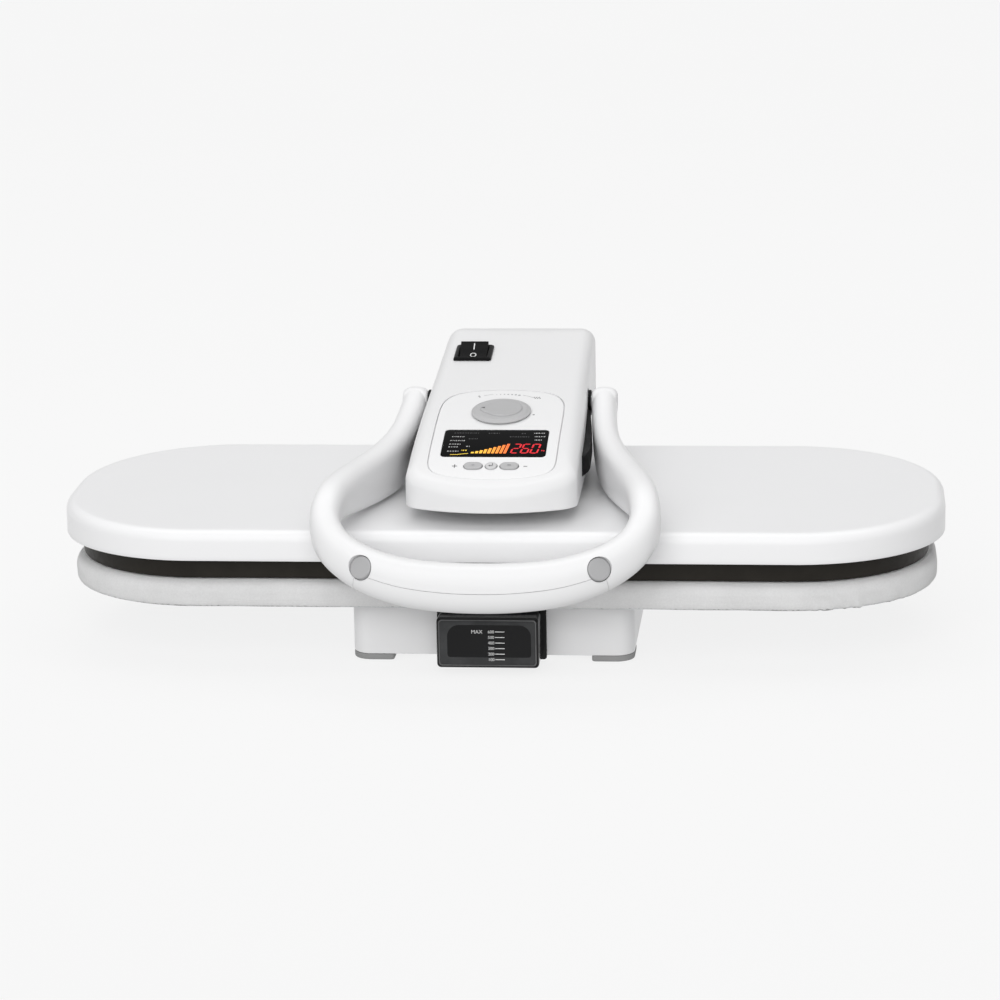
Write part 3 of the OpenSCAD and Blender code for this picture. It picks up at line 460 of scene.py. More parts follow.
def make_shell():
    rings = []
    for a in range(90, -1, -15):
        rings.append(sloped(head_ring(3 + 5 * (1 - math.cos(rad(a))), 102.6 + 5 * math.sin(rad(a)))))
    rings += [head_ring(3, 80.5), head_ring(2.5, 80.0), head_ring(0.9, 80.0), head_ring(0.3, 80.25), head_ring(0.03, 80.9), head_ring(0, 84), head_ring(0, 89)]
    for k in range(0, 13):
        a = rad(90 * k / 12)
        rings.append(sloped(head_ring(8 * (1 - math.cos(a)), 102.6 + 8 * math.sin(a))))
    rings.append(sloped(head_ring(10.5, 110.6)))
    o = piece("press_shell_skin", *loft(rings), MAT["white_plastic"], 30)
    cut(o, [join([rod((x, y, 95), (x, y, 120), 5) for x, y in POSTS] + [rod((0, 20, 95), (0, 20, 120), 9)])], angle=30)
    return done(o, "head", "white_plastic", "press_shell")


def make_plate():
    rings = [head_ring(16.5, 72.0), head_ring(15.4, 72.2), head_ring(13.6, 83.6), head_ring(13.1, 84.0), head_ring(9.8, 84.0), head_ring(9.42, 83.7)]
    rings += [head_ring(12 - 2.6 * (z - 65.7) / 18.3, z) for z in (80, 74, 68)]
    for k in range(0, 7):
        a = rad(90 * k / 6)
        rings.append(head_ring(12 + 1.7 * (1 - math.cos(a)), 66.0 - 1.7 * math.sin(a)))
    rings.append(head_ring(15, 64.3))
    o = piece("heating_plate_skin", *loft(rings), MAT["dark_plate"], 30)
    v, f = [], []
    for j, y in enumerate((-84, -56, -28, 0, 28, 56, 84)):
        m = 19 - j % 2 - 2 * (abs(y) // 40)
        for i in range(m):
            x = (i - (m - 1) / 2) * 29
            k = len(v); n = 12
            # a countersunk mouth, then the hole
            for z, r in ((63.3, 2.9), (65.3, 1.5), (73, 1.5)):
                v += [(x + r * math.cos(2 * math.pi * s / n), y + r * math.sin(2 * math.pi * s / n), z) for s in range(n)]
            for t in range(2):
                f += [(k + t * n + s, k + t * n + (s + 1) % n, k + (t + 1) * n + (s + 1) % n, k + (t + 1) * n + s) for s in range(n)]
            f.append(tuple(range(k + n - 1, k - 1, -1))); f.append(tuple(range(k + 2 * n, k + 3 * n)))
    cut(o, [piece("cutter", v, f, None)], angle=30)
    return done(o, "head", "dark_plate", "heating_plate")


make_shell()
make_plate()


# ------------------------------------------------------------------ padded board
def make_pad():
    prof = [(19.5, 43.75), (15.5, 43.48), (12, 43.45), (9.2, 43.48), (7.4, 43.9), (6.25, 44.95), (5.65, 46.6), (5.3, 48.8), (5.15, 51.5), (5.1, 54),
            (5.2, 55.8), (5.7, 57.8), (6.8, 59.9), (8.6, 61.6), (11.5, 62.8), (16, 63.35), (22, 63.5), (30, 63.55), (40, 63.55), (54, 63.55), (68, 63.55),
            (82, 63.55), (96, 63.55), (108, 63.55), (118, 63.55), (124.5, 63.55)]
    fine = cr(prof[:17], 3) + prof[17:]
    nc, nl, ns = 18, 48, 4
    rings = [head_ring(d, z, nc, nl, ns) for d, z in fine]
    m = len(rings[0])
    def skin(rings, end):
        m = len(rings[0])
        v, f = loft(rings, cap0=False, cap1=False)
        # the middle of the top: quads from the rear run to the front run
        k = (len(rings) - 1) * m
        mirror = lambda i: (m - ns - i) % m
        f += [(k + i, k + i + 1, k + mirror(i + 1), k + mirror(i)) for i in range(end)]
        f += [tuple(k + i for i in range(end, mirror(end) + 1)), tuple(k + i % m for i in range(mirror(0), m + 1))]
        return v, f
    def widen(pts):
        """Four columns for one round both right-hand corners."""
        out = []
        for i, q in enumerate(pts):
            out.append(tuple(q))
            if i < nc or 3 * nc + 2 * nl + ns <= i < 4 * nc + 2 * nl + ns:
                p0, p1, p2, p3 = (Vector(pts[(i + j) % len(pts)]) for j in (-1, 0, 1, 2))
                for t in (0.25, 0.5, 0.75):
                    out.append(tuple(0.5 * (2 * p1 + (p2 - p0) * t + (2 * p0 - 5 * p1 + 4 * p2 - p3) * t * t + (3 * p1 - p0 - 3 * p2 + p3) * t ** 3)))
        return out
    o = piece("pad_cloth_cover", *skin(rings, 2 * nc + nl), MAT["pad_cloth"], 60, fix=False)
    start = [w.co.copy() for w in o.data.vertices]
    pin = o.vertex_groups.new(name="hem")
    pin.add(list(range(0, 2 * m)), 1.0, "REPLACE")
    md = o.modifiers.new("cloth", "CLOTH")
    st = md.settings
    st.quality = 5
    st.mass = 0.25
    st.tension_stiffness = st.compression_stiffness = 18
    st.shear_stiffness = 6
    st.bending_stiffness = 0.6
    st.use_pressure = True
    st.uniform_pressure_force = 4
    st.vertex_group_mass = "hem"
    st.shrink_min = -0.012
    st.effector_weights.gravity = 0
    md.collision_settings.use_collision = False
    md.collision_settings.use_self_collision = False
    md.point_cache.frame_start, md.point_cache.frame_end = 1, 20
    for k in range(1, 21):
        SCENE.frame_set(k)
    dg = bpy.context.evaluated_depsgraph_get()
    got = [w.co.copy() for w in o.evaluated_get(dg).data.vertices]
    o.modifiers.clear()
    o.vertex_groups.clear()
    SCENE.frame_set(1)
    for w, a, b in zip(o.data.vertices, start, got):
        move = b - a
        if move.length > 0.0005:
            move *= 0.0005 / move.length
        w.co = a + move
    got = [tuple(w.co / MM) for w in o.data.vertices]
    bpy.data.objects.remove(o)
    for j, (d, z) in enumerate(fine):
        if d > 60:
            # near the middle line the columns lie close together: they keep their places and share their height
            h = [got[j * m + i][2] for i in range(m)]
            for i in range(m):
                got[j * m + i] = (rings[j][i][0], rings[j][i][1], sum(h[(i + k) % m] for k in range(-12, 13)) / 25)
    wide = [widen(got[j * m:(j + 1) * m]) for j in range(len(rings))]
    start = [Vector(q) * MM for r in rings for q in widen(r)]
    m = len(wide[0])
    o = piece("pad_cloth_cover", *skin(wide, 5 * nc + nl), MAT["pad_cloth"], 60, fix=False)
    # gathers above the drawn-in hem, and slack near the right-hand front corner
    o.data.update()
    for i, w in enumerate(o.data.vertices):
        p = w.co
        nrm = w.normal
        side = max(0.0, 1 - abs(p.z - 0.0455) / 0.0065) if i < 26 * m else 0.0
        g = noise.noise(Vector((p.x * 85, p.y * 85, 0.0))) * 0.00045 * side
        g += noise.noise(Vector((p.x * 26, p.y * 26, p.z * 60))) * 0.00025
        if p.y < 0 and p.x > 0.16:
            along = math.atan2(p.y + 0.016, p.x - 0.218) * 0.107
            slack = math.exp(-((p.x - 0.258) / 0.036) ** 2) * max(0.0, 1 - max(0.0, p.z - 0.0452) / 0.0105) * min(1.0, max(0.0, (p.z - 0.0434) / 0.001))
            g += slack * 0.0038 * noise.noise(Vector((along * 260 + p.z * 110, 3.1, p.z * 45)))
        w.co = p + (nrm if fine[i // m][0] <= 60 else Vector((0, 0, 1))) * g
    for i, w in enumerate(o.data.vertices):
        w.co.z = min(max(w.co.z, 0.04335), 0.06395)
        r = start[i]
        if r.z > 0.0625:
            w.co.z = max(w.co.z, 0.0631)
    o.data.update()
    sub = o.modifiers.new("sub", "SUBSURF"); sub.levels = sub.render_levels = 1
    th = o.modifiers.new("thick", "SOLIDIFY"); th.thickness = 0.0007; th.offset = -1
    shade(o, 60)
    done(o, "base", "pad_cloth", "pad_cover")
    # drawn hem round the underside
    n = 10
    path = head_ring(19.2, 44.0, 24, 60, 5)
    k = len(path); rings = []
    for i in range(k):
        t = (Vector(path[(i + 1) % k]) - Vector(path[i - 1])).normalized()
        e1 = t.cross(Vector((0, 0, 1))).normalized()
        wob = 1 + 0.25 * noise.noise(Vector((i * 0.9, 0.3, 0.0)))
        rings.append([tuple(Vector(path[i]) + e1 * (1.0 * wob * math.cos(2 * math.pi * s / n)) + Vector((0, 0, 0.62 * wob * math.sin(2 * math.pi * s / n)))) for s in range(n)])
    v = [p for r in rings for p in r]
    f = [(i * n + s, i * n + (s + 1) % n, ((i + 1) % k) * n + (s + 1) % n, ((i + 1) % k) * n + s) for i in range(k) for s in range(n)]
    hem = piece("pad_hem", v, f, MAT["hem_cloth"], 60)
    done(hem, "base", "pad_cloth")
    core = [head_ring(14, 47.7), head_ring(8, 47.7), head_ring(7.2, 48.6), head_ring(7.0, 50), head_ring(7.2, 56), head_ring(8.2, 58.6), head_ring(9.8, 60.4), head_ring(12.5, 61.7), head_ring(16, 62.2), head_ring(20, 62.2)]
    done(piece("foam_core", *loft(core), MAT["foam"], 40), "base", "foam", "foam_pad")


make_pad()


# ------------------------------------------------------------------ base
def base_ring(d, z, r=14, n=14):
    r = max(r - d, 0.6)
    hx, hy = 103.5 - d, 146 - d
    return [(x, 41 + y, z) for x, y in rrect(hx, hy, r, n)]


def make_base():
    rings = [base_ring(3, 39.6), base_ring(3, 5.2), base_ring(2.6, 4.5), base_ring(1.2, 4.5), base_ring(0.35, 4.85), base_ring(0, 5.7), base_ring(0, 20), base_ring(0, 38)]
    for k in range(0, 7):
        a = rad(90 * k / 6)
        rings.append(base_ring(3 * (1 - math.cos(a)), 40 + 3 * math.sin(a)))
    rings.append(base_ring(5, 43))
    o = piece("base_body", *loft([r for r in [base_ring(5, 40)] + rings]), MAT["white_base_shaded"], 30)
    mouth = [(x, 23.2 + z) for x, z in rrect(38.3, 16.8, 1.6, 4)]
    m = piece("cutter", *loft([[(x, y, z - 4.0 if z < 20 else z) for x, z in mouth] for y in (-112, -100)]), None)
    hole = box_cut((-44, 150, 30), (44, 183, 60))
    cord_way = rod((-70, 180, 22), (-70, 192, 22), 7)
    cut(o, [join([m, hole, cord_way])], angle=30)
    done(o, "base", "white_plastic", "base_shell")
    seat = [[(x, -1 + y, z) for x, y in rrect(92 - d, 98 - d, 4, 5)] for d, z in ((0, 43.0), (0, 44.1), (0.4, 44.5), (3, 44.5))]
    s = piece("board_seat", *loft([[(x, y, z) for x, y, z in r] for r in seat]), MAT["white_base_shaded"], 30)
    done(s, "base", "white_plastic")


make_base()


def make_feet():
    for sx in (-1, 1):
        for yb, name in ((0, "front"), (1, "rear")):
            out = []
            # outer corner is the base's own corner, the other three are small
            hx, hy = 15.5, 17.0
            for q, (qx, qy) in enumerate(((1, 1), (-1, 1), (-1, -1), (1, -1))):
                big = (qx == sx) and (qy == (1 if yb else -1))
                r = 13.4 if big else 2.2
                n = 12
                for i in range(n + 1):
                    a = math.pi / 2 * (q + i / n)
                    out.append((qx * (hx - r) + r * math.cos(a), qy * (hy - r) + r * math.sin(a), r))
            cx, cy = sx * 88.0, (170.0 if yb else -88.0)
            def ring(d, z):
                return [(cx + x * (hx - d) / hx, cy + y * (hy - d) / hy, z) for x, y, r in out]
            rings = [ring(3, 0), ring(1.3, 0.0), ring(0.55, 0.25), ring(0.18, 0.8), ring(0.1, 1.6), ring(0.1, 3.6), ring(0.25, 4.3), ring(0.5, 4.5), ring(3, 4.5)]
            o = piece(f"foot_{name}_{'left' if sx < 0 else 'right'}", *loft(rings), MAT["rubber_grey"], 35)
            # shallow ribs under the foot
            cut(o, [join([box_cut((cx - 11, cy + t - 0.8, -1), (cx + 11, cy + t + 0.8, 0.6)) for t in (-9, -4.5, 0, 4.5, 9)])], angle=35)
            done(o, "base", "rubber_grey", "feet")


make_feet()


# ------------------------------------------------------------------ arm housing
def top_z(y):
    return 133 + 0.1673 * (y + 112) + 16.4 * (1 - math.exp(-(y + 112) / 45))


def top_a(y):
    return math.atan(0.1673 + 0.3644 * math.exp(-(y + 112) / 45))


def roof(y):
    """Height of the housing's top at y, with the round back."""
    if y <= 158:
        return top_z(y)
    e = 168 + 27 * math.sqrt(max(0.0, 1 - max(0.0, (y - 166) / 29.0) ** 2))
    if y >= 172:
        return e
    t = (y - 158) / 14
    t = t * t * (3 - 2 * t)
    return (1 - t) * min(top_z(y), 195) + t * e


def sill(y):
    """Height of the housing's lower edge at y."""
    pts = [(-200, 114), (135, 114), (141, 98), (149.4, 85.2)]
    if y <= 149.4:
        for (a, za), (b, zb) in zip(pts, pts[1:]):
            if y <= b:
                return za + (zb - za) * (y - a) / (b - a)
    if y <= 180.5:
        return 100 - math.sqrt(max(0.0, 529 - (y - 167) ** 2))
    return 118.0          # the back is open below this for the hinge column


ARM_HALF = [(x, -118 + 115 - math.sqrt(115 * 115 - x * x)) for x in (0, 10, 20, 30, 40, 50)] + [
    (55, -103.6), (59, -99.6), (61.6, -94.6), (62.7, -88), (62.1, -44), (61.5, 0), (60.2, 60), (59.4, 112), (58.6, 162), (57.6, 175), (54.6, 184.6), (49, 191.4), (41, 195), (20, 195), (0, 195)]
ARM_HALF = resample(cr(ARM_HALF, 8), 150)
ARM_LINE = ARM_HALF + [(-x, y) for x, y in ARM_HALF[-2:0:-1]]


def arm_line(d):
    k = (62.7 - d) / 62.7
    return [(x * k, -118 + d + (y + 118) * (313 - 2 * d) / 313) for x, y in ARM_LINE]


def edge_r(y):
    """Radius along the housing's top edge: tighter at the nose."""
    t = max(0.0, min(1.0, (y + 112) / 40))
    return 6.5 + 4.5 * t * t * (3 - 2 * t)


def on_top(x, y, up):
    a = top_a(y)
    return (x, y - up * math.sin(a), top_z(y) + up * math.cos(a))


def top_cutter(outline, up, down):
    """A cutter square to the housing's top at each point: from up above to down below the surface."""
    n = len(outline)
    rings = [[(x, y, roof(y) + h) for x, y in outline] for h in (-down, up)]
    v, f = [p for r in rings for p in r], []
    f += [(i, (i + 1) % n, n + (i + 1) % n, n + i) for i in range(n)]
    # inner rings so that the floor follows the curve
    cx, cy = sum(p[0] for p in outline) / n, sum(p[1] for p in outline) / n
    for base, h, flip in ((0, -down, True), (n, up, False)):
        prev = list(range(base, base + n))
        for s in (0.8, 0.6, 0.4, 0.2, 0.03):
            k = len(v)
            for x, y in outline:
                px, py = cx + (x - cx) * s, cy + (y - cy) * s
                v.append((px, py, roof(py) + h))
            cur = list(range(k, k + n))
            for i in range(n):
                q = (prev[i], prev[(i + 1) % n], cur[(i + 1) % n], cur[i])
                f.append(tuple(reversed(q)) if flip else q)
            prev = cur
        f.append(tuple(reversed(prev)) if flip else tuple(prev))
    return piece("cutter", v, f, None)


PANEL_HALF = [(0, -105.2), (14, -104.6), (28, -102.6), (38, -99.6), (43.6, -95.6), (46.4, -89), (47, -78), (47, -49), (47, -20), (46.4, 2), (44.4, 13), (40, 22), (33, 28), (22, 32), (10, 33.8), (0, 34)]
PANEL_HALF = resample(cr(PANEL_HALF, 8), 90)


def panel_line(d):
    """The panel's outline, grown by d."""
    half = [(x * (47 + d) / 47, -35.6 + (y + 35.6) * (69.6 + d) / 69.6) for x, y in PANEL_HALF]
    return half + [(-x, y) for x, y in half[-2:0:-1]]


KEY_Y, KEY_X, DIAL_Y, SW_X, SW_Y = -90.4, 13.2, -9.2, -32.5, 108.5


def on_top_cut(x0, y0, outline, up, down, rows=None):
    """A straight cutter that stands square on the housing's top at (x0, y0)."""
    a = top_a(y0)
    def at(x, y, z):
        return (x0 + x, y0 + y * math.cos(a) - z * math.sin(a), top_z(y0) + y * math.sin(a) + z * math.cos(a))
    return piece("cutter", *loft([[at(x, y, z) for x, y in outline] for z in (-down, up)]), None)


def circle(r, n=48):
    return [(r * math.cos(2 * math.pi * i / n), r * math.sin(2 * math.pi * i / n)) for i in range(n)]


def pill(l, r, n=14):
    h = l / 2 - r
    return [(h + r * math.cos(rad(-90 + 180 * i / n)), r * math.sin(rad(-90 + 180 * i / n))) for i in range(n + 1)] + \
           [(-h + r * math.cos(rad(90 + 180 * i / n)), r * math.sin(rad(90 + 180 * i / n))) for i in range(n + 1)]


def make_housing():
    rings = []
    # top, from the middle line outward
    for d in (61.2, 54, 46, 38, 30, 24, 19, 15):
        rings.append([(x, y, roof(y)) for x, y in arm_line(d)])
    n = 10
    for k in range(n, -1, -1):
        a = math.pi / 2 * k / n
        pts = []
        for x0, y0 in ARM_LINE:
            F = edge_r(y0)
            d = F * (1 - math.cos(a))
            x, y = x0 * (62.7 - d) / 62.7, -118 + d + (y0 + 118) * (313 - 2 * d) / 313
            pts.append((x, y, roof(y) - F * (1 - math.sin(a))))
        rings.append(pts)
    side_top = rings[-1]
    bottom = [(x, y, sill(y)) for x, y in ARM_LINE]
    for t in (0.2, 0.45, 0.7, 0.9):
        rings.append([(p[0], p[1], p[2] + (q[2] - p[2]) * t) for p, q in zip(side_top, bottom)])
    rings.append([(x, y, z + 0.8) for x, y, z in bottom])
    for d, up in ((0.25, 0.25), (0.8, 0.0), (2.4, 0.0)):
        rings.append([(x, y, sill(y0) + up) for (x, y), (x0, y0) in zip(arm_line(d), ARM_LINE)])
    inner = arm_line(3)
    for t in (0.02, 0.5, 1.0):
        rings.append([(x, y, sill(y0) + (roof(y) - 13 - sill(y0)) * t) for (x, y), (x0, y0) in zip(inner, ARM_LINE)])
    for k in range(1, 5):
        a = math.pi / 2 * k / 4
        rings.append([(x, y, roof(y) - 3 - 10 * (1 - math.sin(a))) for x, y in arm_line(3 + 8 * (1 - math.cos(a)))])
    for d in (19, 30, 42, 54, 61.2):
        rings.append([(x, y, roof(y) - 3.0) for x, y in arm_line(d)])
    o = piece("arm_housing_skin", *loft(rings, zip_caps=True), MAT["white_housing_shaded"], 34)
    cutters = [top_cutter(panel_line(0.3), 4, 1.7)]
    cutters.append(on_top_cut(0, -58.75, [(x, y) for x, y in rrect(36, 17, 2)], 12, 12))
    cutters.append(on_top_cut(0, DIAL_Y, circle(6), 10, 10))
    for s in (-1, 1):
        cutters.append(on_top_cut(s * KEY_X, KEY_Y, pill(14.6, 4.8), 8, 8))
    cutters.append(on_top_cut(0, KEY_Y, circle(4.8), 8, 8))
    cutters.append(on_top_cut(SW_X, SW_Y, rrect(13, 13.5, 0.8, 3), 10, 10))
    cutters.append(rod((-80, 60, 158), (80, 60, 158), 11, 64))
    cut(o, [cutters[0], join(cutters[1:])], angle=34)
    return done(o, "head", "white_plastic", "arm_housing")


make_housing()


def make_panel():
    rings = []
    for d, h in ((-0.9, -1.6), (-0.35, -1.6), (-0.35, -0.55), (-0.45, -0.22), (-0.75, -0.03), (-1.3, 0.0)):
        rings.append([(x, y, roof(y) + h) for x, y in panel_line(d)])
    for s in (6, 14, 22, 30, 38, 44.5):
        k = 1 - s / 47
        rings.append([(x * k, -35.6 + (y + 35.6) * (69.6 - s) / 69.6, 0) for x, y in panel_line(0)])
        rings[-1] = [(x, y, roof(y)) for x, y, z in rings[-1]]
    v, f = loft(rings, cap0=False, zip_caps=True)
    # underside
    n = len(rings[0]); prev = list(range(n))
    for s in (10, 20, 30, 40, 44.5):
        k = 1 - s / 47
        base = len(v)
        for x, y in panel_line(-0.9):
            px, py = x * k, -35.6 + (y + 35.6) * (69.6 - s) / 69.6
            v.append((px, py, roof(py) - 1.6))
        cur = list(range(base, base + n))
        f += [(prev[(i + 1) % n], prev[i], cur[i], cur[(i + 1) % n]) for i in range(n)]
        prev = cur
    h = n // 2
    b = prev[0]
    f += [tuple(reversed(q)) for q in [(b, b + 1, b + n - 1)] + [(b + i, b + i + 1, b + n - i - 1, b + n - i) for i in range(1, h - 1)] + [(b + h - 1, b + h, b + h + 1)]]
    o = piece("panel_inlay", v, f, MAT["panel_plastic"], 34)
    win = [(x, -58.75 + y) for x, y in rrect(38.75, 20.4, 3.4, 8)]
    win = sum(([p] + [tuple(u + (w - u) * t / 6 for u, w in zip(p, q)) for t in range(1, 6)] if math.dist(p, q) > 8 else [p] for p, q in zip(win, win[1:] + win[:1])), [])
    cutters = [top_cutter(win, 4, 4), on_top_cut(0, DIAL_Y, circle(6), 8, 8), on_top_cut(0, KEY_Y, circle(4.75), 8, 8)]
    cutters += [on_top_cut(s * KEY_X, KEY_Y, pill(14.5, 4.75), 8, 8) for s in (-1, 1)]
    cut(o, [join(cutters)], angle=34)
    return done(o, "head", "panel_plastic", "control_panel")


make_panel()


def make_window():
    """Dark glass of the display: rounded corners, a softened edge, following the panel's curve."""
    rings = []
    def ring(d, h):
        pts = rrect(38.45 - d, 20.1 - d, max(3.2 - d, 0.8), 8)
        pts = sum(([p] + [tuple(u + (w - u) * t / 8 for u, w in zip(p, q)) for t in range(1, 8)] if math.dist(p, q) > 6 else [p] for p, q in zip(pts, pts[1:] + pts[:1])), [])
        return [(x, -58.75 + y, roof(-58.75 + y) + h) for x, y in pts]
    full = [ring(0, -1.5), ring(0, -0.35), ring(0.12, -0.12), ring(0.4, -0.02), ring(0.9, 0.0)]
    n0 = len(full[0])
    for s in (6, 12, 17):
        r = [(x * (38.45 - s) / 38.45, -58.75 + (y + 58.75) * (20.1 - s) / 20.1, 0) for x, y, z in full[0]]
        full.append([(x, y, roof(y)) for x, y, z in r])
    v, f = loft(full)
    o = piece("display_glass", v, f, MAT["window"], 34)
    return done(o, "head", "window", "display_window")


make_window()


# ------------------------------------------------------------------ marks on the panel, display and tank
def decal(name, polys, mat, body, lift=0.07, to=None, slot=None):
    """Thin printed or lit areas laid on a surface. polys are outlines in the surface's own plane."""
    v, f = [], []
    cells = []
    for poly in polys:
        if len(poly) == 4 and not to:
            k = max(1, math.ceil(math.dist(poly[0], poly[3]) / 3.0))
            for i in range(k):
                at = lambda p, q, t: tuple(u + (w - u) * t for u, w in zip(p, q))
                cells.append([at(poly[0], poly[3], i / k), at(poly[1], poly[2], i / k), at(poly[1], poly[2], (i + 1) / k), at(poly[0], poly[3], (i + 1) / k)])
        else:
            cells.append(poly)
    for poly in cells:
        area = sum(a[0] * b[1] - b[0] * a[1] for a, b in zip(poly, poly[1:] + poly[:1]))
        poly = poly if area > 0 else poly[::-1]
        k = len(v)
        v += [to(x, y, lift) for x, y in poly] if to else [(x, y, roof(y) + lift) for x, y in poly]
        f.append(tuple(range(k, k + len(poly))))
    o = piece(name, v, f, mat, 30, fix=False)
    return done(o, body, slot)


def stroke(pts, w):
    """A line of width w along pts, as an outline."""
    left, right = [], []
    for i, p in enumerate(pts):
        a, b = pts[max(i - 1, 0)], pts[min(i + 1, len(pts) - 1)]
        dx, dy = b[0] - a[0], b[1] - a[1]
        l = math.hypot(dx, dy) or 1
        ww = w[i] if isinstance(w, (list, tuple)) else w
        nx, ny = -dy / l * ww / 2, dx / l * ww / 2
        left.append((p[0] + nx, p[1] + ny)); right.append((p[0] - nx, p[1] - ny))
    return left + right[::-1]


def bar(x0, x1, y0, y1, lean=0.0):
    return [(x0, y0), (x1, y0), (x1 + lean * (y1 - y0), y1), (x0 + lean * (y1 - y0), y1)]


WY0, WY1 = -78.85, -38.65   # display, front to back


def wy(v):
    """v runs from 0 at the back edge of the display to 1 at its front edge."""
    return WY1 + (WY0 - WY1) * v


def segments(x, y, w, h, digit, lean=0.16, t=1.35, g=0.28):
    """Seven-segment figure with its lower left corner at x, y."""
    on = {"0": "abcdef", "2": "abged", "6": "acdefg"}[digit]
    def q(px, py):
        return (x + px + lean * py, y + py)
    m = h / 2
    def hor(py):
        return [q(g + t / 2, py), q(g + t, py + t / 2), q(w - g - t, py + t / 2), q(w - g - t / 2, py), q(w - g - t, py - t / 2), q(g + t, py - t / 2)]
    def ver(px, a, b):
        return [q(px, a + g + t / 4), q(px + t / 2, a + g + t * 0.75), q(px + t / 2, b - g - t * 0.75), q(px, b - g - t / 4), q(px - t / 2, b - g - t * 0.75), q(px - t / 2, a + g + t * 0.75)]
    s = {"a": hor(h - t / 2), "g": hor(m), "d": hor(t / 2), "f": ver(t / 2, m, h), "e": ver(t / 2, 0, m), "b": ver(w - t / 2, m, h), "c": ver(w - t / 2, 0, m)}
    return [s[k] for k in on]


def make_display_marks():
    L = 38.45
    ux = lambda u: -L + 2 * L * u
    bars = []
    for i in range(9):
        x0 = ux(0.285 + 0.0385 * i)
        hgt = 1.9 + 11.6 * (i / 8) ** 1.15
        y0 = wy(0.885)
        bars.append(bar(x0, x0 + 2.15, y0, y0 + hgt, 0.16))
    decal("display_bars", bars, MAT["lit_bars"], "head", 0.07, slot="window")
    figs = []
    for i, dgt in enumerate("260"):
        figs += segments(ux(0.655) + i * 7.1, wy(0.885), 6.3, 13.8, dgt)
    figs.append(bar(ux(0.953), ux(0.953) + 0.9, wy(0.80), wy(0.80) + 1.2, 0.16))
    figs.append(bar(ux(0.972), ux(0.972) + 0.8, wy(0.81), wy(0.81) + 1.6, 0.16))
    decal("display_figures", figs, MAT["lit_red"], "head", 0.07, slot="window")
    def dashes(u0, u1, v, h, seed, fill=0.72):
        out, x, k = [], ux(u0), 0
        while x < ux(u1) - 0.4:
            w = 0.55 + 1.1 * (0.5 + 0.5 * math.sin(seed * 12.9 + k * 4.7))
            w = min(w, ux(u1) - x)
            out.append(bar(x, x + w * fill, wy(v), wy(v) + h, 0.12))
            x += w + 0.35; k += 1
        return out
    pale, dim = [], []
    for i, (u0, u1, v) in enumerate(((0.075, 0.20, 0.30), (0.065, 0.215, 0.45), (0.062, 0.18, 0.58), (0.06, 0.155, 0.68), (0.055, 0.165, 0.83), (0.23, 0.265, 0.66))):
        pale += dashes(u0, u1, v, 1.25, i + 1)
    for i, (u0, u1, v) in enumerate(((0.86, 0.965, 0.155), (0.87, 0.975, 0.29), (0.875, 0.95, 0.42))):
        pale += dashes(u0, u1, v, 1.15, i + 11)
    for i, (u0, u1, v) in enumerate(((0.09, 0.33, 0.155), (0.42, 0.53, 0.16), (0.63, 0.82, 0.30), (0.24, 0.33, 0.38), (0.74, 0.79, 0.17))):
        dim += dashes(u0, u1, v, 1.15, i + 21)
    decal("display_legend", pale, MAT["lit_pale"], "head", 0.07, slot="window")
    decal("display_legend_dim", dim, MAT["ink_dim"], "head", 0.07, slot="window")
    yel = dashes(0.19, 0.25, 0.80, 1.3, 31) + [stroke([(ux(0.09), wy(0.93)), (ux(0.16), wy(0.925)), (ux(0.26), wy(0.885))], 0.7)]
    decal("display_mark", yel, MAT["lit_yellow"], "head", 0.07, slot="window")


def make_panel_marks():
    cx, cy = 0.0, DIAL_Y
    def arc(r, a0, a1, n=14):
        return [(cx + r * math.cos(rad(a0 + (a1 - a0) * i / n)), cy + r * math.sin(rad(a0 + (a1 - a0) * i / n))) for i in range(n + 1)]
    pale = [stroke(arc(35.6, 117, 105), 0.5), stroke(arc(35.6, 68, 53), 0.5)]
    dark = []
    # steam amount: a row of dots that grow from left to right
    for i in range(7):
        a = 101 - 29 * i / 6
        r = 0.45 + 0.11 * i
        px, py = cx + 34.6 * math.cos(rad(a)), cy + 34.6 * math.sin(rad(a))
        pale.append([(px + r * math.cos(rad(30 * k)), py + r * math.sin(rad(30 * k))) for k in range(12)])
    def wisp(x, y, s):
        return stroke([(x + 0.75 * s * math.sin(k / 9 * 2 * math.pi), y + 3.4 * s * k / 9) for k in range(10)], 0.55)
    for dx in (0.0,):
        dark.append(wisp(cx - 19.4 + dx, cy + 28.4, 1.0))
    for dx in (-1.8, 0.0, 1.8):
        dark.append(wisp(cx + 24.6 + dx, cy + 26.2, 1.0))
    # dot beside the dial
    dark.append([(cx + 24.6 + 0.8 * math.cos(rad(20 * k)), cy - 3.6 + 0.8 * math.sin(rad(20 * k))) for k in range(18)])
    # plus and minus beside the keys
    dark += [bar(-28.6, -24.8, KEY_Y - 0.36, KEY_Y + 0.36), bar(-27.06, -26.34, KEY_Y - 1.9, KEY_Y + 1.9)]
    dark += [bar(23.6, 26.4, KEY_Y - 0.33, KEY_Y + 0.33)]
    decal("panel_arcs", pale, MAT["ink_pale"], "head", 0.04, slot="panel_plastic")
    decal("panel_signs", dark, MAT["ink_grey"], "head", 0.045, slot="panel_plastic")


make_display_marks()
make_panel_marks()


# ------------------------------------------------------------------ dial and keys
def at_top(x0, y0):
    a = top_a(y0)
    return lambda x, y, z: (x0 + x, y0 + y * math.cos(a) - z * math.sin(a), top_z(y0) + y * math.sin(a) + z * math.cos(a))


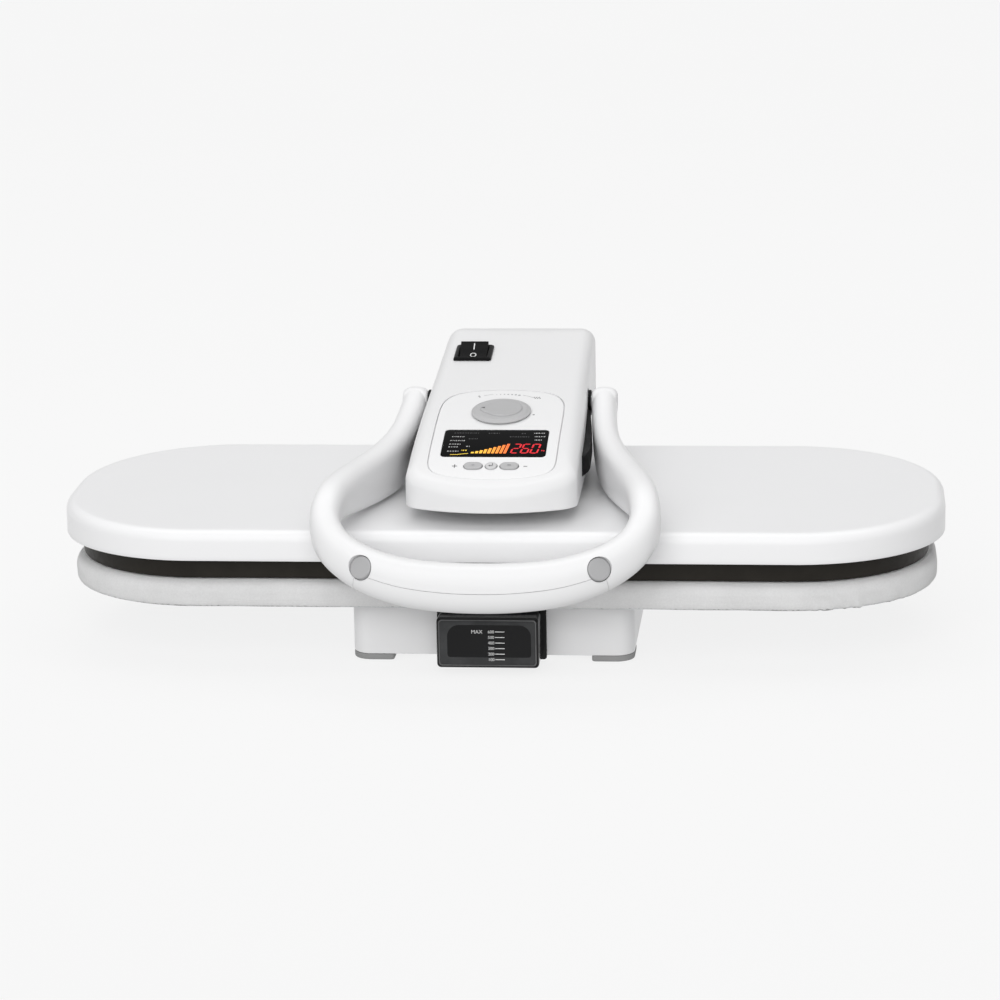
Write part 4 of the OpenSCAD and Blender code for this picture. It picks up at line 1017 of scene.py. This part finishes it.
def make_dial():
    at = at_top(0, DIAL_Y)
    n = 96
    prof = [(2.6, -11.6), (3.0, -11.2), (3.0, 0.5), (21.2, 0.5), (22.0, 0.7), (22.3, 1.15), (22.25, 1.6), (21.9, 1.92), (21.2, 2.08), (20.6, 2.2), (20.0, 2.55), (19.5, 2.95), (18.8, 3.15), (17.8, 3.1), (10, 2.9)]
    rings = [[at(r * math.cos(2 * math.pi * k / n), r * math.sin(2 * math.pi * k / n), z) for k in range(n)] for r, z in prof]
    o = piece("dial_disc", *loft(rings), MAT["knob_plastic"], 34)
    done(o, "dial", "knob_plastic", "dial_knob")
    # raised grip: a round pad that narrows to a pointer
    out = []
    m = 120
    for k in range(m):
        a = 2 * math.pi * k / m
        r = 14.3
        off = abs(((a - rad(186)) + math.pi) % (2 * math.pi) - math.pi)
        tail = 3.2 * max(0.0, math.cos(min(off * 2.6, math.pi / 2))) ** 1.3
        out.append((1.6 + (r + tail) * math.cos(a), 0.6 + (r + tail * 0.55) * math.sin(a)))
    def ring(d, z):
        return [at(1.6 + (x - 1.6) * (15 - d) / 15, 0.6 + (y - 0.6) * (15 - d) / 15, z) for x, y in out]
    rings = [ring(0.2, 2.8), ring(0, 3.0), ring(0.1, 3.5), ring(0.35, 3.85), ring(0.8, 4.1), ring(1.5, 4.2), ring(2.6, 4.18), ring(4.2, 4.08), ring(8, 3.9), ring(12, 3.84)]
    p = piece("dial_grip", *loft(rings), MAT["knob_pad"], 40)
    done(p, "dial", "knob_plastic")
    mark = [[(-15.2, 0.1), (-12.2, 1.35), (-12.2, -1.15)]]
    decal("dial_pointer", mark, MAT["ink_grey"], "dial", 4.26, to=at, slot="knob_plastic")


def make_key(name, x0, outline, body, node):
    at = at_top(x0, KEY_Y)
    hx = max(abs(p[0]) for p in outline); hy = max(abs(p[1]) for p in outline)
    def ring(d, z):
        return [at(x * (hx - d) / hx, y * (hy - d) / hy, z) for x, y in outline]
    rings = [ring(0.4, -4.6), ring(0, -4.2), ring(0, 0.55), ring(0.12, 0.88), ring(0.42, 1.1), ring(0.9, 1.19), ring(1.6, 1.16), ring(2.6, 1.08), ring(3.6, 1.05)]
    o = piece(name, *loft(rings), MAT["key_cap" if node == "enter_button" else "key_plastic"], 34)
    return done(o, body, "grey_plastic", node)


make_dial()
make_key("key_plus", -KEY_X, pill(13.4, 4.2), "plus_key", "plus_button")
make_key("key_minus", KEY_X, pill(13.4, 4.2), "minus_key", "minus_button")
make_key("key_enter", 0, circle(4.2), "enter_key", "enter_button")


def make_key_marks():
    at = at_top(0, KEY_Y)
    hook = [(1.0, 2.1), (1.0, -0.5), (0.7, -1.0), (-0.9, -1.0)]
    tip = [(-0.6, 0.0), (-1.9, -1.0), (-0.6, -2.0)]
    decal("enter_mark", [stroke(hook, 0.55), tip], MAT["ink_grey"], "enter_key", 1.25, to=at, slot="grey_plastic")
    at = at_top(KEY_X, KEY_Y)
    decal("minus_mark", [bar(-1.3, 1.3, -0.28, 0.28)], MAT["ink_grey"], "minus_key", 1.25, to=at, slot="grey_plastic")
    at = at_top(-KEY_X, KEY_Y)
    decal("plus_mark", [bar(-1.3, 1.3, -0.25, 0.25), bar(-0.25, 0.25, 0.25, 1.3), bar(-0.25, 0.25, -1.3, -0.25)], MAT["ink_pale"], "plus_key", 1.25, to=at, slot="grey_plastic")


make_key_marks()


# ------------------------------------------------------------------ rocker switch
def make_switch():
    at = at_top(SW_X, SW_Y)
    def ring(hx, hy, r, z):
        return [at(x, y, z) for x, y in rrect(hx, hy, r, 5)]
    rings = [ring(12.6, 13.2, 0.8, -21), ring(12.6, 13.2, 0.8, 0.25), ring(14.4, 15.2, 1.4, 0.25), ring(14.7, 15.5, 1.6, 0.55), ring(14.7, 15.5, 1.6, 1.2), ring(14.4, 15.2, 1.5, 1.75),
             ring(13.2, 14.0, 1.2, 2.6), ring(12.6, 13.4, 1.0, 2.85), ring(11.7, 12.7, 0.6, 2.85), ring(11.3, 12.3, 0.5, 2.55), ring(11.2, 12.2, 0.5, 2.0), ring(11.2, 12.2, 0.5, -9.5), ring(10, 11, 0.5, -10)]
    o = piece("switch_frame", *loft(rings), MAT["black_plastic"], 34)
    done(o, "head", "black_plastic", "switch_body")
    side = [(-10.8, 0.6), (-6.0, 1.30), (-1, 2.4), (4.5, 4.45), (10.2, 7), (10.8, 6.2), (9, -1), (3, -4.6), (-3, -4.6), (-9, -3.4)]
    rings = [[at(x, y, z) for y, z in side] for x in (-10.8, 10.8)]
    r = piece("switch_rocker", *loft(rings), MAT["black_plastic"], 34)
    bevel(r, 0.45, 3, 28, 40)
    done(r, "rocker", "black_plastic", "power_rocker")
    def front(x, y, up):     # front half of the rocker
        t = (y + 10.8) / 9.8
        z = 0.6 + 0.7 * min(1, (y + 10.8) / 4.8) + 1.1 * max(0, (y + 6.0) / 5.0)
        return at(x, y, z + up)
    def rear(x, y, up):
        z = 2.4 + (y + 1) * (2.05 / 5.5) if y < 4.5 else 4.45 + (y - 4.5) * (2.55 / 5.7)
        return at(x, y, z + up)
    n = 28
    o_ring = [stroke([(2.15 * math.cos(2 * math.pi * k / n), -5.6 + 2.5 * math.sin(2 * math.pi * k / n)) for k in range(i * 7, i * 7 + 8)], 0.75) for i in range(4)]
    decal("switch_o", o_ring, MAT["ink_white"], "rocker", 0.06, to=front, slot="black_plastic")
    decal("switch_i", [bar(-0.4, 0.4, 1.4, 4.4), bar(-0.4, 0.4, 4.4, 7.9)], MAT["ink_white"], "rocker", 0.10, to=rear, slot="black_plastic")


make_switch()


# ------------------------------------------------------------------ handle
# x, y, z, half width, half height, and how much deeper the arm's plate hangs below
GRIP_HALF = [(72.7, 60, 158, 9.7, 12.2, 30), (74.4, 34, 150, 9.5, 12.2, 24), (77.2, 8, 143, 9.4, 12.2, 20), (82.2, -18, 138, 9.7, 12.2, 18.5),
             (89.8, -46, 134.6, 10.1, 12, 16), (99.2, -76, 132.4, 10.6, 11.8, 13.5), (107.6, -105, 130.4, 11, 12, 10), (112.8, -129, 125.8, 11, 12.4, 5),
             (114.2, -146, 114, 11.2, 13.2, 1.5), (108.2, -158, 102, 11.6, 14.2, 0), (95.2, -167, 92.4, 12, 15.2, 0), (77.4, -174, 85, 12.5, 16.2, 0),
             (54.4, -179, 79.2, 13, 16.8, 0), (28, -181.4, 76, 13, 17, 0), (0, -182, 75, 13, 17, 0)]
PER = 9
GRIP = cr([(-p[0],) + p[1:] for p in GRIP_HALF] + GRIP_HALF[-2::-1], PER)
SEAM = round(32 / 3 * PER)
THUMB_DIR = Vector((0.36, -0.80, 0.44)).normalized()


def grip_ring(i, lo=-99.0, hi=99.0, n=44, grow=0.0, slide=0.0):
    p = GRIP[i]
    a, b = GRIP[max(i - 1, 0)], GRIP[min(i + 1, len(GRIP) - 1)]
    t = (Vector(b[:3]) - Vector(a[:3])).normalized()
    e1 = t.cross(Vector((0, 0, 1))).normalized()
    e2 = -t.cross(e1)
    f = -e1
    out = []
    for k in range(n):
        w = 2 * math.pi * k / n
        c, s = math.cos(w), math.sin(w)
        d = max(0.0, p[5]) if s < -0.001 else 0.0
        x = (p[3] + grow) * math.copysign(abs(c) ** (0.86 - 0.4 * min(1, d / 15)), c)
        y = (p[4] + d + grow) * math.copysign(abs(s) ** 0.86, s)
        if y > 0:
            y *= 1 + 0.105 * math.exp(-(p[0] / 52) ** 2) * (p[1] < -150)
        y = max(lo, min(hi, y))
        out.append(tuple(Vector(p[:3]) + t * slide + f * x + e2 * y))
    return out


def thumb_at(s):
    c = Vector((s * 84.2, -183, 90.8))
    d = Vector((s * THUMB_DIR.x, THUMB_DIR.y, THUMB_DIR.z))
    e1 = d.cross(Vector((0, 0, 1))).normalized()
    e2 = d.cross(e1)
    return c, d, e1, e2


def make_handle():
    N = len(GRIP)
    g = 0.17
    def end(i, s):
        return [grip_ring(i, grow=-1.7), grip_ring(i, grow=-0.8, slide=0.5 * s), grip_ring(i, grow=-0.05, slide=1.9 * s)]
    rings = end(0, 1) + [grip_ring(i) for i in range(1, SEAM + 1)] + [grip_ring(SEAM, g, 99, slide=0.3)] + [grip_ring(i, g, 99) for i in range(SEAM + 1, N - 1 - SEAM)] + \
            [grip_ring(N - 1 - SEAM, g, 99, slide=-0.3)] + [grip_ring(i) for i in range(N - 1 - SEAM, N - 1)] + end(N - 1, -1)[::-1]
    o = piece("handle_ring", *loft(rings), MAT["white_grip"], 34)
    hubs = []
    for s in (-1, 1):
        n = 72
        prof = [(7.6 + 4.5 * (1 - abs(u) ** 2.6) ** 0.62, 72.7 + 9.7 * u) for u in (-1, -0.985, -0.94, -0.86, -0.74, -0.58, -0.38, -0.15, 0.15, 0.38, 0.58, 0.74, 0.86, 0.94, 0.985, 1)]
        hubs.append(piece("cutter", *loft([[(s * x, 60 + r * math.cos(2 * math.pi * k / n), 158 + r * math.sin(2 * math.pi * k / n)) for k in range(n)] for r, x in prof]), None))
    cut(o, [join(hubs)], "UNION", 34)
    cutters = [rod((-90, 60, 158), (90, 60, 158), 7.02, 56)]
    for s in (-1, 1):
        c, d, e1, e2 = thumb_at(s)
        cutters.append(rod(c - d * 14, c + d * 16, 8.75, 56))
    cut(o, [join(cutters)], angle=34)
    done(o, "handle", "white_plastic", "handle_body")
    rings = [grip_ring(SEAM, -99, -g, slide=0.22)] + [grip_ring(i, -99, -g) for i in range(SEAM + 1, N - 1 - SEAM)] + [grip_ring(N - 1 - SEAM, -99, -g, slide=-0.22)]
    c2 = piece("grip_under", *loft(rings), MAT["white_grip"], 34)
    cutters = []
    for s in (-1, 1):
        c, d, e1, e2 = thumb_at(s)
        cutters.append(rod(c - d * 14, c + d * 16, 8.75, 56))
    mouths = []
    for x in (-50, 0, 50):
        y = -182 if x == 0 else -179.4
        cutters.append(rod((x, y, 50), (x, y, 90), 1.75, 24))
        mouths.append(rod((x, y, 50), (x, y, 60.2 if x == 0 else 63.8), 3.2, 32))
    cut(c2, [join(cutters), join(mouths)], angle=34)
    done(c2, "handle", "white_plastic", "grip_cover")
    for s, body, node in ((-1, "thumb_left", "steam_button_left"), (1, "thumb_right", "steam_button_right")):
        c, d, e1, e2 = thumb_at(s)
        n = 64
        prof = [(2, -8), (2, -6), (8.0, -6), (8.3, -5.7), (8.3, 0.0), (8.22, 0.4), (7.95, 0.75), (7.5, 0.95), (6.8, 1.0), (4, 0.98), (1.5, 0.96)]
        rings = [[tuple(c + d * z + e1 * (r * math.cos(2 * math.pi * k / n)) + e2 * (r * math.sin(2 * math.pi * k / n))) for k in range(n)] for r, z in prof]
        b = piece("button_" + body, *loft(rings), MAT["grey_plastic"], 34)
        done(b, body, "grey_plastic", node)


make_handle()


def make_gap_shade_pads():
    """Dark pads and washers on the housing's sides, between it and the handle's arms: painted shade, dark pieces that
    stand in for the shadow in the gap there.
    """
    def mix(pts, y):
        for (a, va), (b, vb) in zip(pts, pts[1:]):
            if b <= y <= a:
                return va + (vb - va) * (a - y) / (a - b)
        return pts[-1][1]
    mid = [(p[1], p[2]) for p in GRIP_HALF[:6]]
    inner = [(p[1], p[0] - p[3]) for p in GRIP_HALF[:6]]
    side = [(60, 60.2), (0, 61.5), (-44, 62.1), (-88, 62.7)]
    for s, word in ((-1, "left"), (1, "right")):
        rings = []
        for y in (45.5, 45, 44, 38, 30, 20, 10, 0, -10, -20, -28, -34, -36, -37):
            w, zc = mix(side, y), mix(mid, y)
            full = min(1.0, (y + 37.4) / 12, (46 - y) / 1.5)
            out = w + 0.3 + full * (min(mix(inner, y) - 0.9, w + 5.2) - w - 0.3)
            k = min(0.6, (out - w) * 0.5)
            rings.append([(s * x, y, z) for x, z in ((w - 0.5, zc - 13), (out - k, zc - 13), (out, zc - 13 + k), (out, zc + 2.4 - k), (out - k, zc + 2.4), (w - 0.5, zc + 2.4))])
        done(piece("gap_shade_pad_" + word, *loft(rings), MAT["black_plastic"], 34), "head", "black_plastic")
        n = 64
        prof = [(7.3, 60.6), (9.5, 60.6), (9.8, 60.9), (9.8, 62.4), (9.5, 62.7), (7.3, 62.7)]
        v = [(s * x, 60 + r * math.cos(2 * math.pi * k / n), 158 + r * math.sin(2 * math.pi * k / n)) for r, x in prof for k in range(n)]
        m = len(prof)
        f = [(i * n + j, i * n + (j + 1) % n, (i + 1) % m * n + (j + 1) % n, (i + 1) % m * n + j) for i in range(m) for j in range(n)]
        done(piece("pivot_shade_washer_" + word, v, f, MAT["black_plastic"], 34), "head", "black_plastic")


make_gap_shade_pads()


# ------------------------------------------------------------------ water tank
def make_tank():
    def ring(hx, hz, r, zc, y):
        return [(x, y, zc + z) for x, z in rrect(hx, hz, r, 6)]
    # front block with its softened face and the hollow behind it
    rings = [ring(33, 13.6, 2.6, 23.2, -136.6), ring(35, 13.9, 3, 23.2, -135.5), ring(35, 14, 3, 23.2, -105.4), ring(38.6, 18.4, 1.6, 22.4, -105.4), ring(39.5, 19.5, 1.9, 22.4, -105.4), ring(40, 20, 2.2, 22.4, -105.8),
             ring(40, 20, 2.2, 22.4, -107.8), ring(39.6, 19.6, 2.0, 22.4, -108.2), ring(37.3, 18.5, 3.2, 23.3, -108.2), ring(37, 18.3, 3.2, 23.3, -108.6), ring(37, 18.3, 3.2, 23.3, -119),
             ring(37, 18.7, 3, 23.5, -136.4), ring(36.95, 18.65, 3, 23.5, -138.4), ring(36.6, 18.3, 2.8, 23.5, -139.3), ring(36.0, 17.7, 2.5, 23.5, -139.85), ring(35.2, 16.9, 2.2, 23.5, -140), ring(30, 12, 2, 23.5, -140)]
    o = piece("tank_face", *loft(rings), MAT["smoked_plastic"], 30)
    done(o, "tank", "smoked_plastic", "tank_front")
    # painted light: a paler rim standing in for the light seen through the wall end on; its inner corners are round at
    # the top
    def outline(l, r, b, t, rb, rt, n=8):
        out = []
        for q, (cx, cz, rr) in enumerate(((r - rt, t - rt, rt), (l + rt, t - rt, rt), (l + rb, b + rb, rb), (r - rb, b + rb, rb))):
            for i in range(n + 1):
                a = math.pi / 2 * (q + i / n)
                out.append((cx + rr * math.cos(a), cz + rr * math.sin(a)))
        return out
    def rim(l, r, b, t, rb, rt, y):
        return [(x, y, z) for x, z in outline(l, r, b, t, rb, rt)]
    def frame_of(name, rings, mat):
        n, k = len(rings[0]), len(rings)
        v = [q for ring_ in rings for q in ring_]
        f = [(i * n + j, i * n + (j + 1) % n, ((i + 1) % k) * n + (j + 1) % n, ((i + 1) % k) * n + j) for i in range(k) for j in range(n)]
        done(piece(name, v, f, MAT[mat], 30), "tank", "smoked_plastic")
    frame_of("tank_rim", [rim(-34.3, 34.3, 7.7, 40.0, 1.8, 1.8, -139.4), rim(-34.3, 34.3, 7.7, 40.0, 1.8, 1.8, -140.08), rim(-34.1, 34.1, 7.9, 39.8, 1.6, 1.6, -140.16),
             rim(-29.6, 32.0, 12.6, 37.6, 2.4, 9.0, -140.16), rim(-29.2, 31.6, 13.0, 37.2, 2.2, 8.7, -140.06), rim(-29.0, 31.4, 13.2, 37.0, 2.0, 8.6, -139.9), rim(-29.0, 31.4, 13.2, 37.0, 2.0, 8.6, -139.4)], "smoked_rim_painted_light")
    # thin bead along the face's edge, in a paler colour that is a painted highlight
    frame_of("tank_bead", [rim(-35.4, 35.4, 6.6, 41.0, 2.4, 2.4, -139.4), rim(-35.4, 35.4, 6.6, 41.0, 2.4, 2.4, -140.1), rim(-35.2, 35.2, 6.8, 40.8, 2.2, 2.2, -140.3),
             rim(-34.75, 34.75, 7.25, 40.35, 2.0, 2.0, -140.3), rim(-34.5, 34.5, 7.5, 40.1, 1.9, 1.9, -140.1), rim(-34.5, 34.5, 7.5, 40.1, 1.9, 1.9, -139.4)], "smoked_bead_painted_highlight")
    to = lambda x, z, up: (x, -140 - up, z)
    lines = []
    for i in range(6):
        z = 32.2 - 4.15 * i
        lines.append([(5.6, z - 0.27), (12.4, z - 0.27), (12.4, z + 0.27), (5.6, z + 0.27)])
    d = decal("tank_scale", lines, MAT["ink_white"], "tank", 0.21, to=to, slot="smoked_plastic")
    for i, txt in enumerate(("600", "500", "400", "300", "200", "100")):
        lettering(f"tank_number_{txt}", txt, 3.1, (5.0, 32.2 - 4.15 * i - 1.05), "RIGHT")
    lettering("tank_max", "MAX", 3.9, (-11.8, 30.85), "LEFT")


def lettering(name, txt, size, at, align):
    cu = bpy.data.curves.new(name, "FONT")
    cu.body, cu.size, cu.align_x = txt, size * MM, align
    tmp = bpy.data.objects.new(name + "_line", cu)
    SCENE.collection.objects.link(tmp)
    dg = bpy.context.evaluated_depsgraph_get()
    me = bpy.data.meshes.new_from_object(tmp.evaluated_get(dg))
    bpy.data.objects.remove(tmp)
    for v in me.vertices:
        x, y, z = v.co
        v.co = (at[0] * MM + x, -0.14021, at[1] * MM + y)
    me.materials.clear(); me.materials.append(MAT["ink_white"])
    o = bpy.data.objects.new(name, me)
    SCENE.collection.objects.link(o)
    done(o, "tank", "smoked_plastic")


make_tank()


# ------------------------------------------------------------------ carried-over pieces
def carry(node, mat, width=0.0):
    o = NODES[node]
    o.data.materials.clear()
    o.data.materials.append(MAT[mat])
    if width:
        w = o.modifiers.new("weld", "WELD"); w.merge_threshold = 2e-6
        b = o.modifiers.new("bevel", "BEVEL")
        b.width, b.segments, b.limit_method, b.angle_limit = width * MM, 2, "ANGLE", rad(50)
        b.harden_normals = False


for node, mat, width in (
        ("tank_bay", "inner_plastic", 0.3), ("hinge_column", "white_base_shaded", 0.8), ("base_bottom_cover", "inner_plastic", 0.3), ("board_plate", "board_metal", 0),
        ("foam_pad", "foam", 0), ("hinge_bracket", "dark_steel", 0.3), ("hinge_pin", "bright_steel", 0.5), ("pin_clips", "steel", 0.15), ("lift_springs", "steel", 0),
        ("water_pump", "inner_plastic", 0.4), ("valve_socket", "inner_plastic", 0.3), ("suction_hose", "hose", 0), ("feed_hose", "hose", 0), ("cord_gland", "rubber_black", 0.5),
        ("power_board", "circuit", 0.2), ("base_screws", "steel", 0.3), ("plate_gasket", "rubber_black", 0), ("heating_element", "steel", 0),
        ("steam_chamber_cover", "board_metal", 0.4), ("thermostat", "ceramic", 0.2), ("hanger_posts", "bright_steel", 0.3), ("hanger_nuts", "steel", 0.3),
        ("levelling_springs", "steel", 0), ("arm_cover", "inner_plastic", 0.3), ("arm_frame", "dark_steel", 0.3), ("hinge_bushes", "bronze", 0.2), ("shaft_bushes", "bronze", 0.2),
        ("display_board", "circuit", 0.2), ("dial_encoder", "black_plastic", 0.3), ("steam_pipe", "hose", 0), ("cover_screws", "steel", 0.3), ("handle_shaft", "bright_steel", 0.6),
        ("toggle_crank", "dark_steel", 0.3), ("steam_switches", "black_plastic", 0.2), ("grip_screws", "steel", 0.2), ("toggle_links", "dark_steel", 0.3),
        ("tank_body", "smoked_plastic", 0.4), ("tank_lid", "smoked_plastic", 0.4), ("tank_outlet", "inner_plastic", 0.3), ("tank_seal", "rubber_black", 0)):
    carry(node, mat, width)


# ------------------------------------------------------------------ stage and light
def make_stage():
    n = 24
    s = 14.0
    v = [(-s + 2 * s * i / n, -s + 2 * s * j / n, 0.0) for j in range(n + 1) for i in range(n + 1)]
    f = [(j * (n + 1) + i, j * (n + 1) + i + 1, (j + 1) * (n + 1) + i + 1, (j + 1) * (n + 1) + i) for j in range(n) for i in range(n)]
    me = bpy.data.meshes.new("floor")
    me.from_pydata(v, [], f)
    o = bpy.data.objects.new("floor", me)
    SCENE.collection.objects.link(o)
    m, nt, bsdf, vec = tree_of("floor_paper")
    slow = noise_node(nt, vec, 1.5, 2.0, 0.5)
    nt.links.new(ramp(nt, slow, [(0.3, (0.118, 0.118, 0.118)), (0.7, (0.122, 0.122, 0.122))]), bsdf.inputs["Base Color"])
    bsdf.inputs["Roughness"].default_value = 0.9
    bsdf.inputs["Specular IOR Level"].default_value = 0.02
    # a lit table: it glows evenly, so that shadows on it stay faint
    bsdf.inputs["Emission Color"].default_value = (1, 1, 1, 1)
    bsdf.inputs["Emission Strength"].default_value = 0.812
    me.materials.append(m)
    o.visible_diffuse = False


def make_light():
    w = bpy.data.worlds.new("studio")
    SCENE.world = w
    w.use_nodes = True
    nt = w.node_tree
    bg = nt.nodes["Background"]
    bg.inputs["Color"].default_value = (1, 1, 1, 1)
    bg.inputs["Strength"].default_value = 0.50
    def sun(name, energy, angle, direction, glint=True):
        d = bpy.data.lights.new(name, "SUN")
        d.energy, d.angle = energy, rad(angle)
        o = bpy.data.objects.new(name, d)
        o.rotation_euler = Vector(direction).to_track_quat("-Z", "Y").to_euler()
        o.visible_glossy = glint
        SCENE.collection.objects.link(o)
    sun("top_light", 0.40, 36, (0.10, -0.60, -0.80), False)
    sun("front_light", 1.9, 60, (0.08, 0.88, -0.47), False)
    def soft(name, energy, size, pos, look):
        d = bpy.data.lights.new(name, "AREA")
        d.shape, d.size, d.size_y, d.energy = "RECTANGLE", size[0], size[1], energy
        o = bpy.data.objects.new(name, d)
        o.location = pos
        o.rotation_euler = (Vector(look) - Vector(pos)).to_track_quat("-Z", "Y").to_euler()
        SCENE.collection.objects.link(o)
    soft("strip_top", 10.0, (3.0, 0.8), (0, 0.25, 2.2), (0, 0, 0.1))
    SCENE.view_settings.view_transform = "Standard"
    SCENE.view_settings.look = "None"
    SCENE.view_settings.exposure = 0
    SCENE.view_settings.gamma = 1


make_stage()
make_light()

bpy.context.view_layer.update()
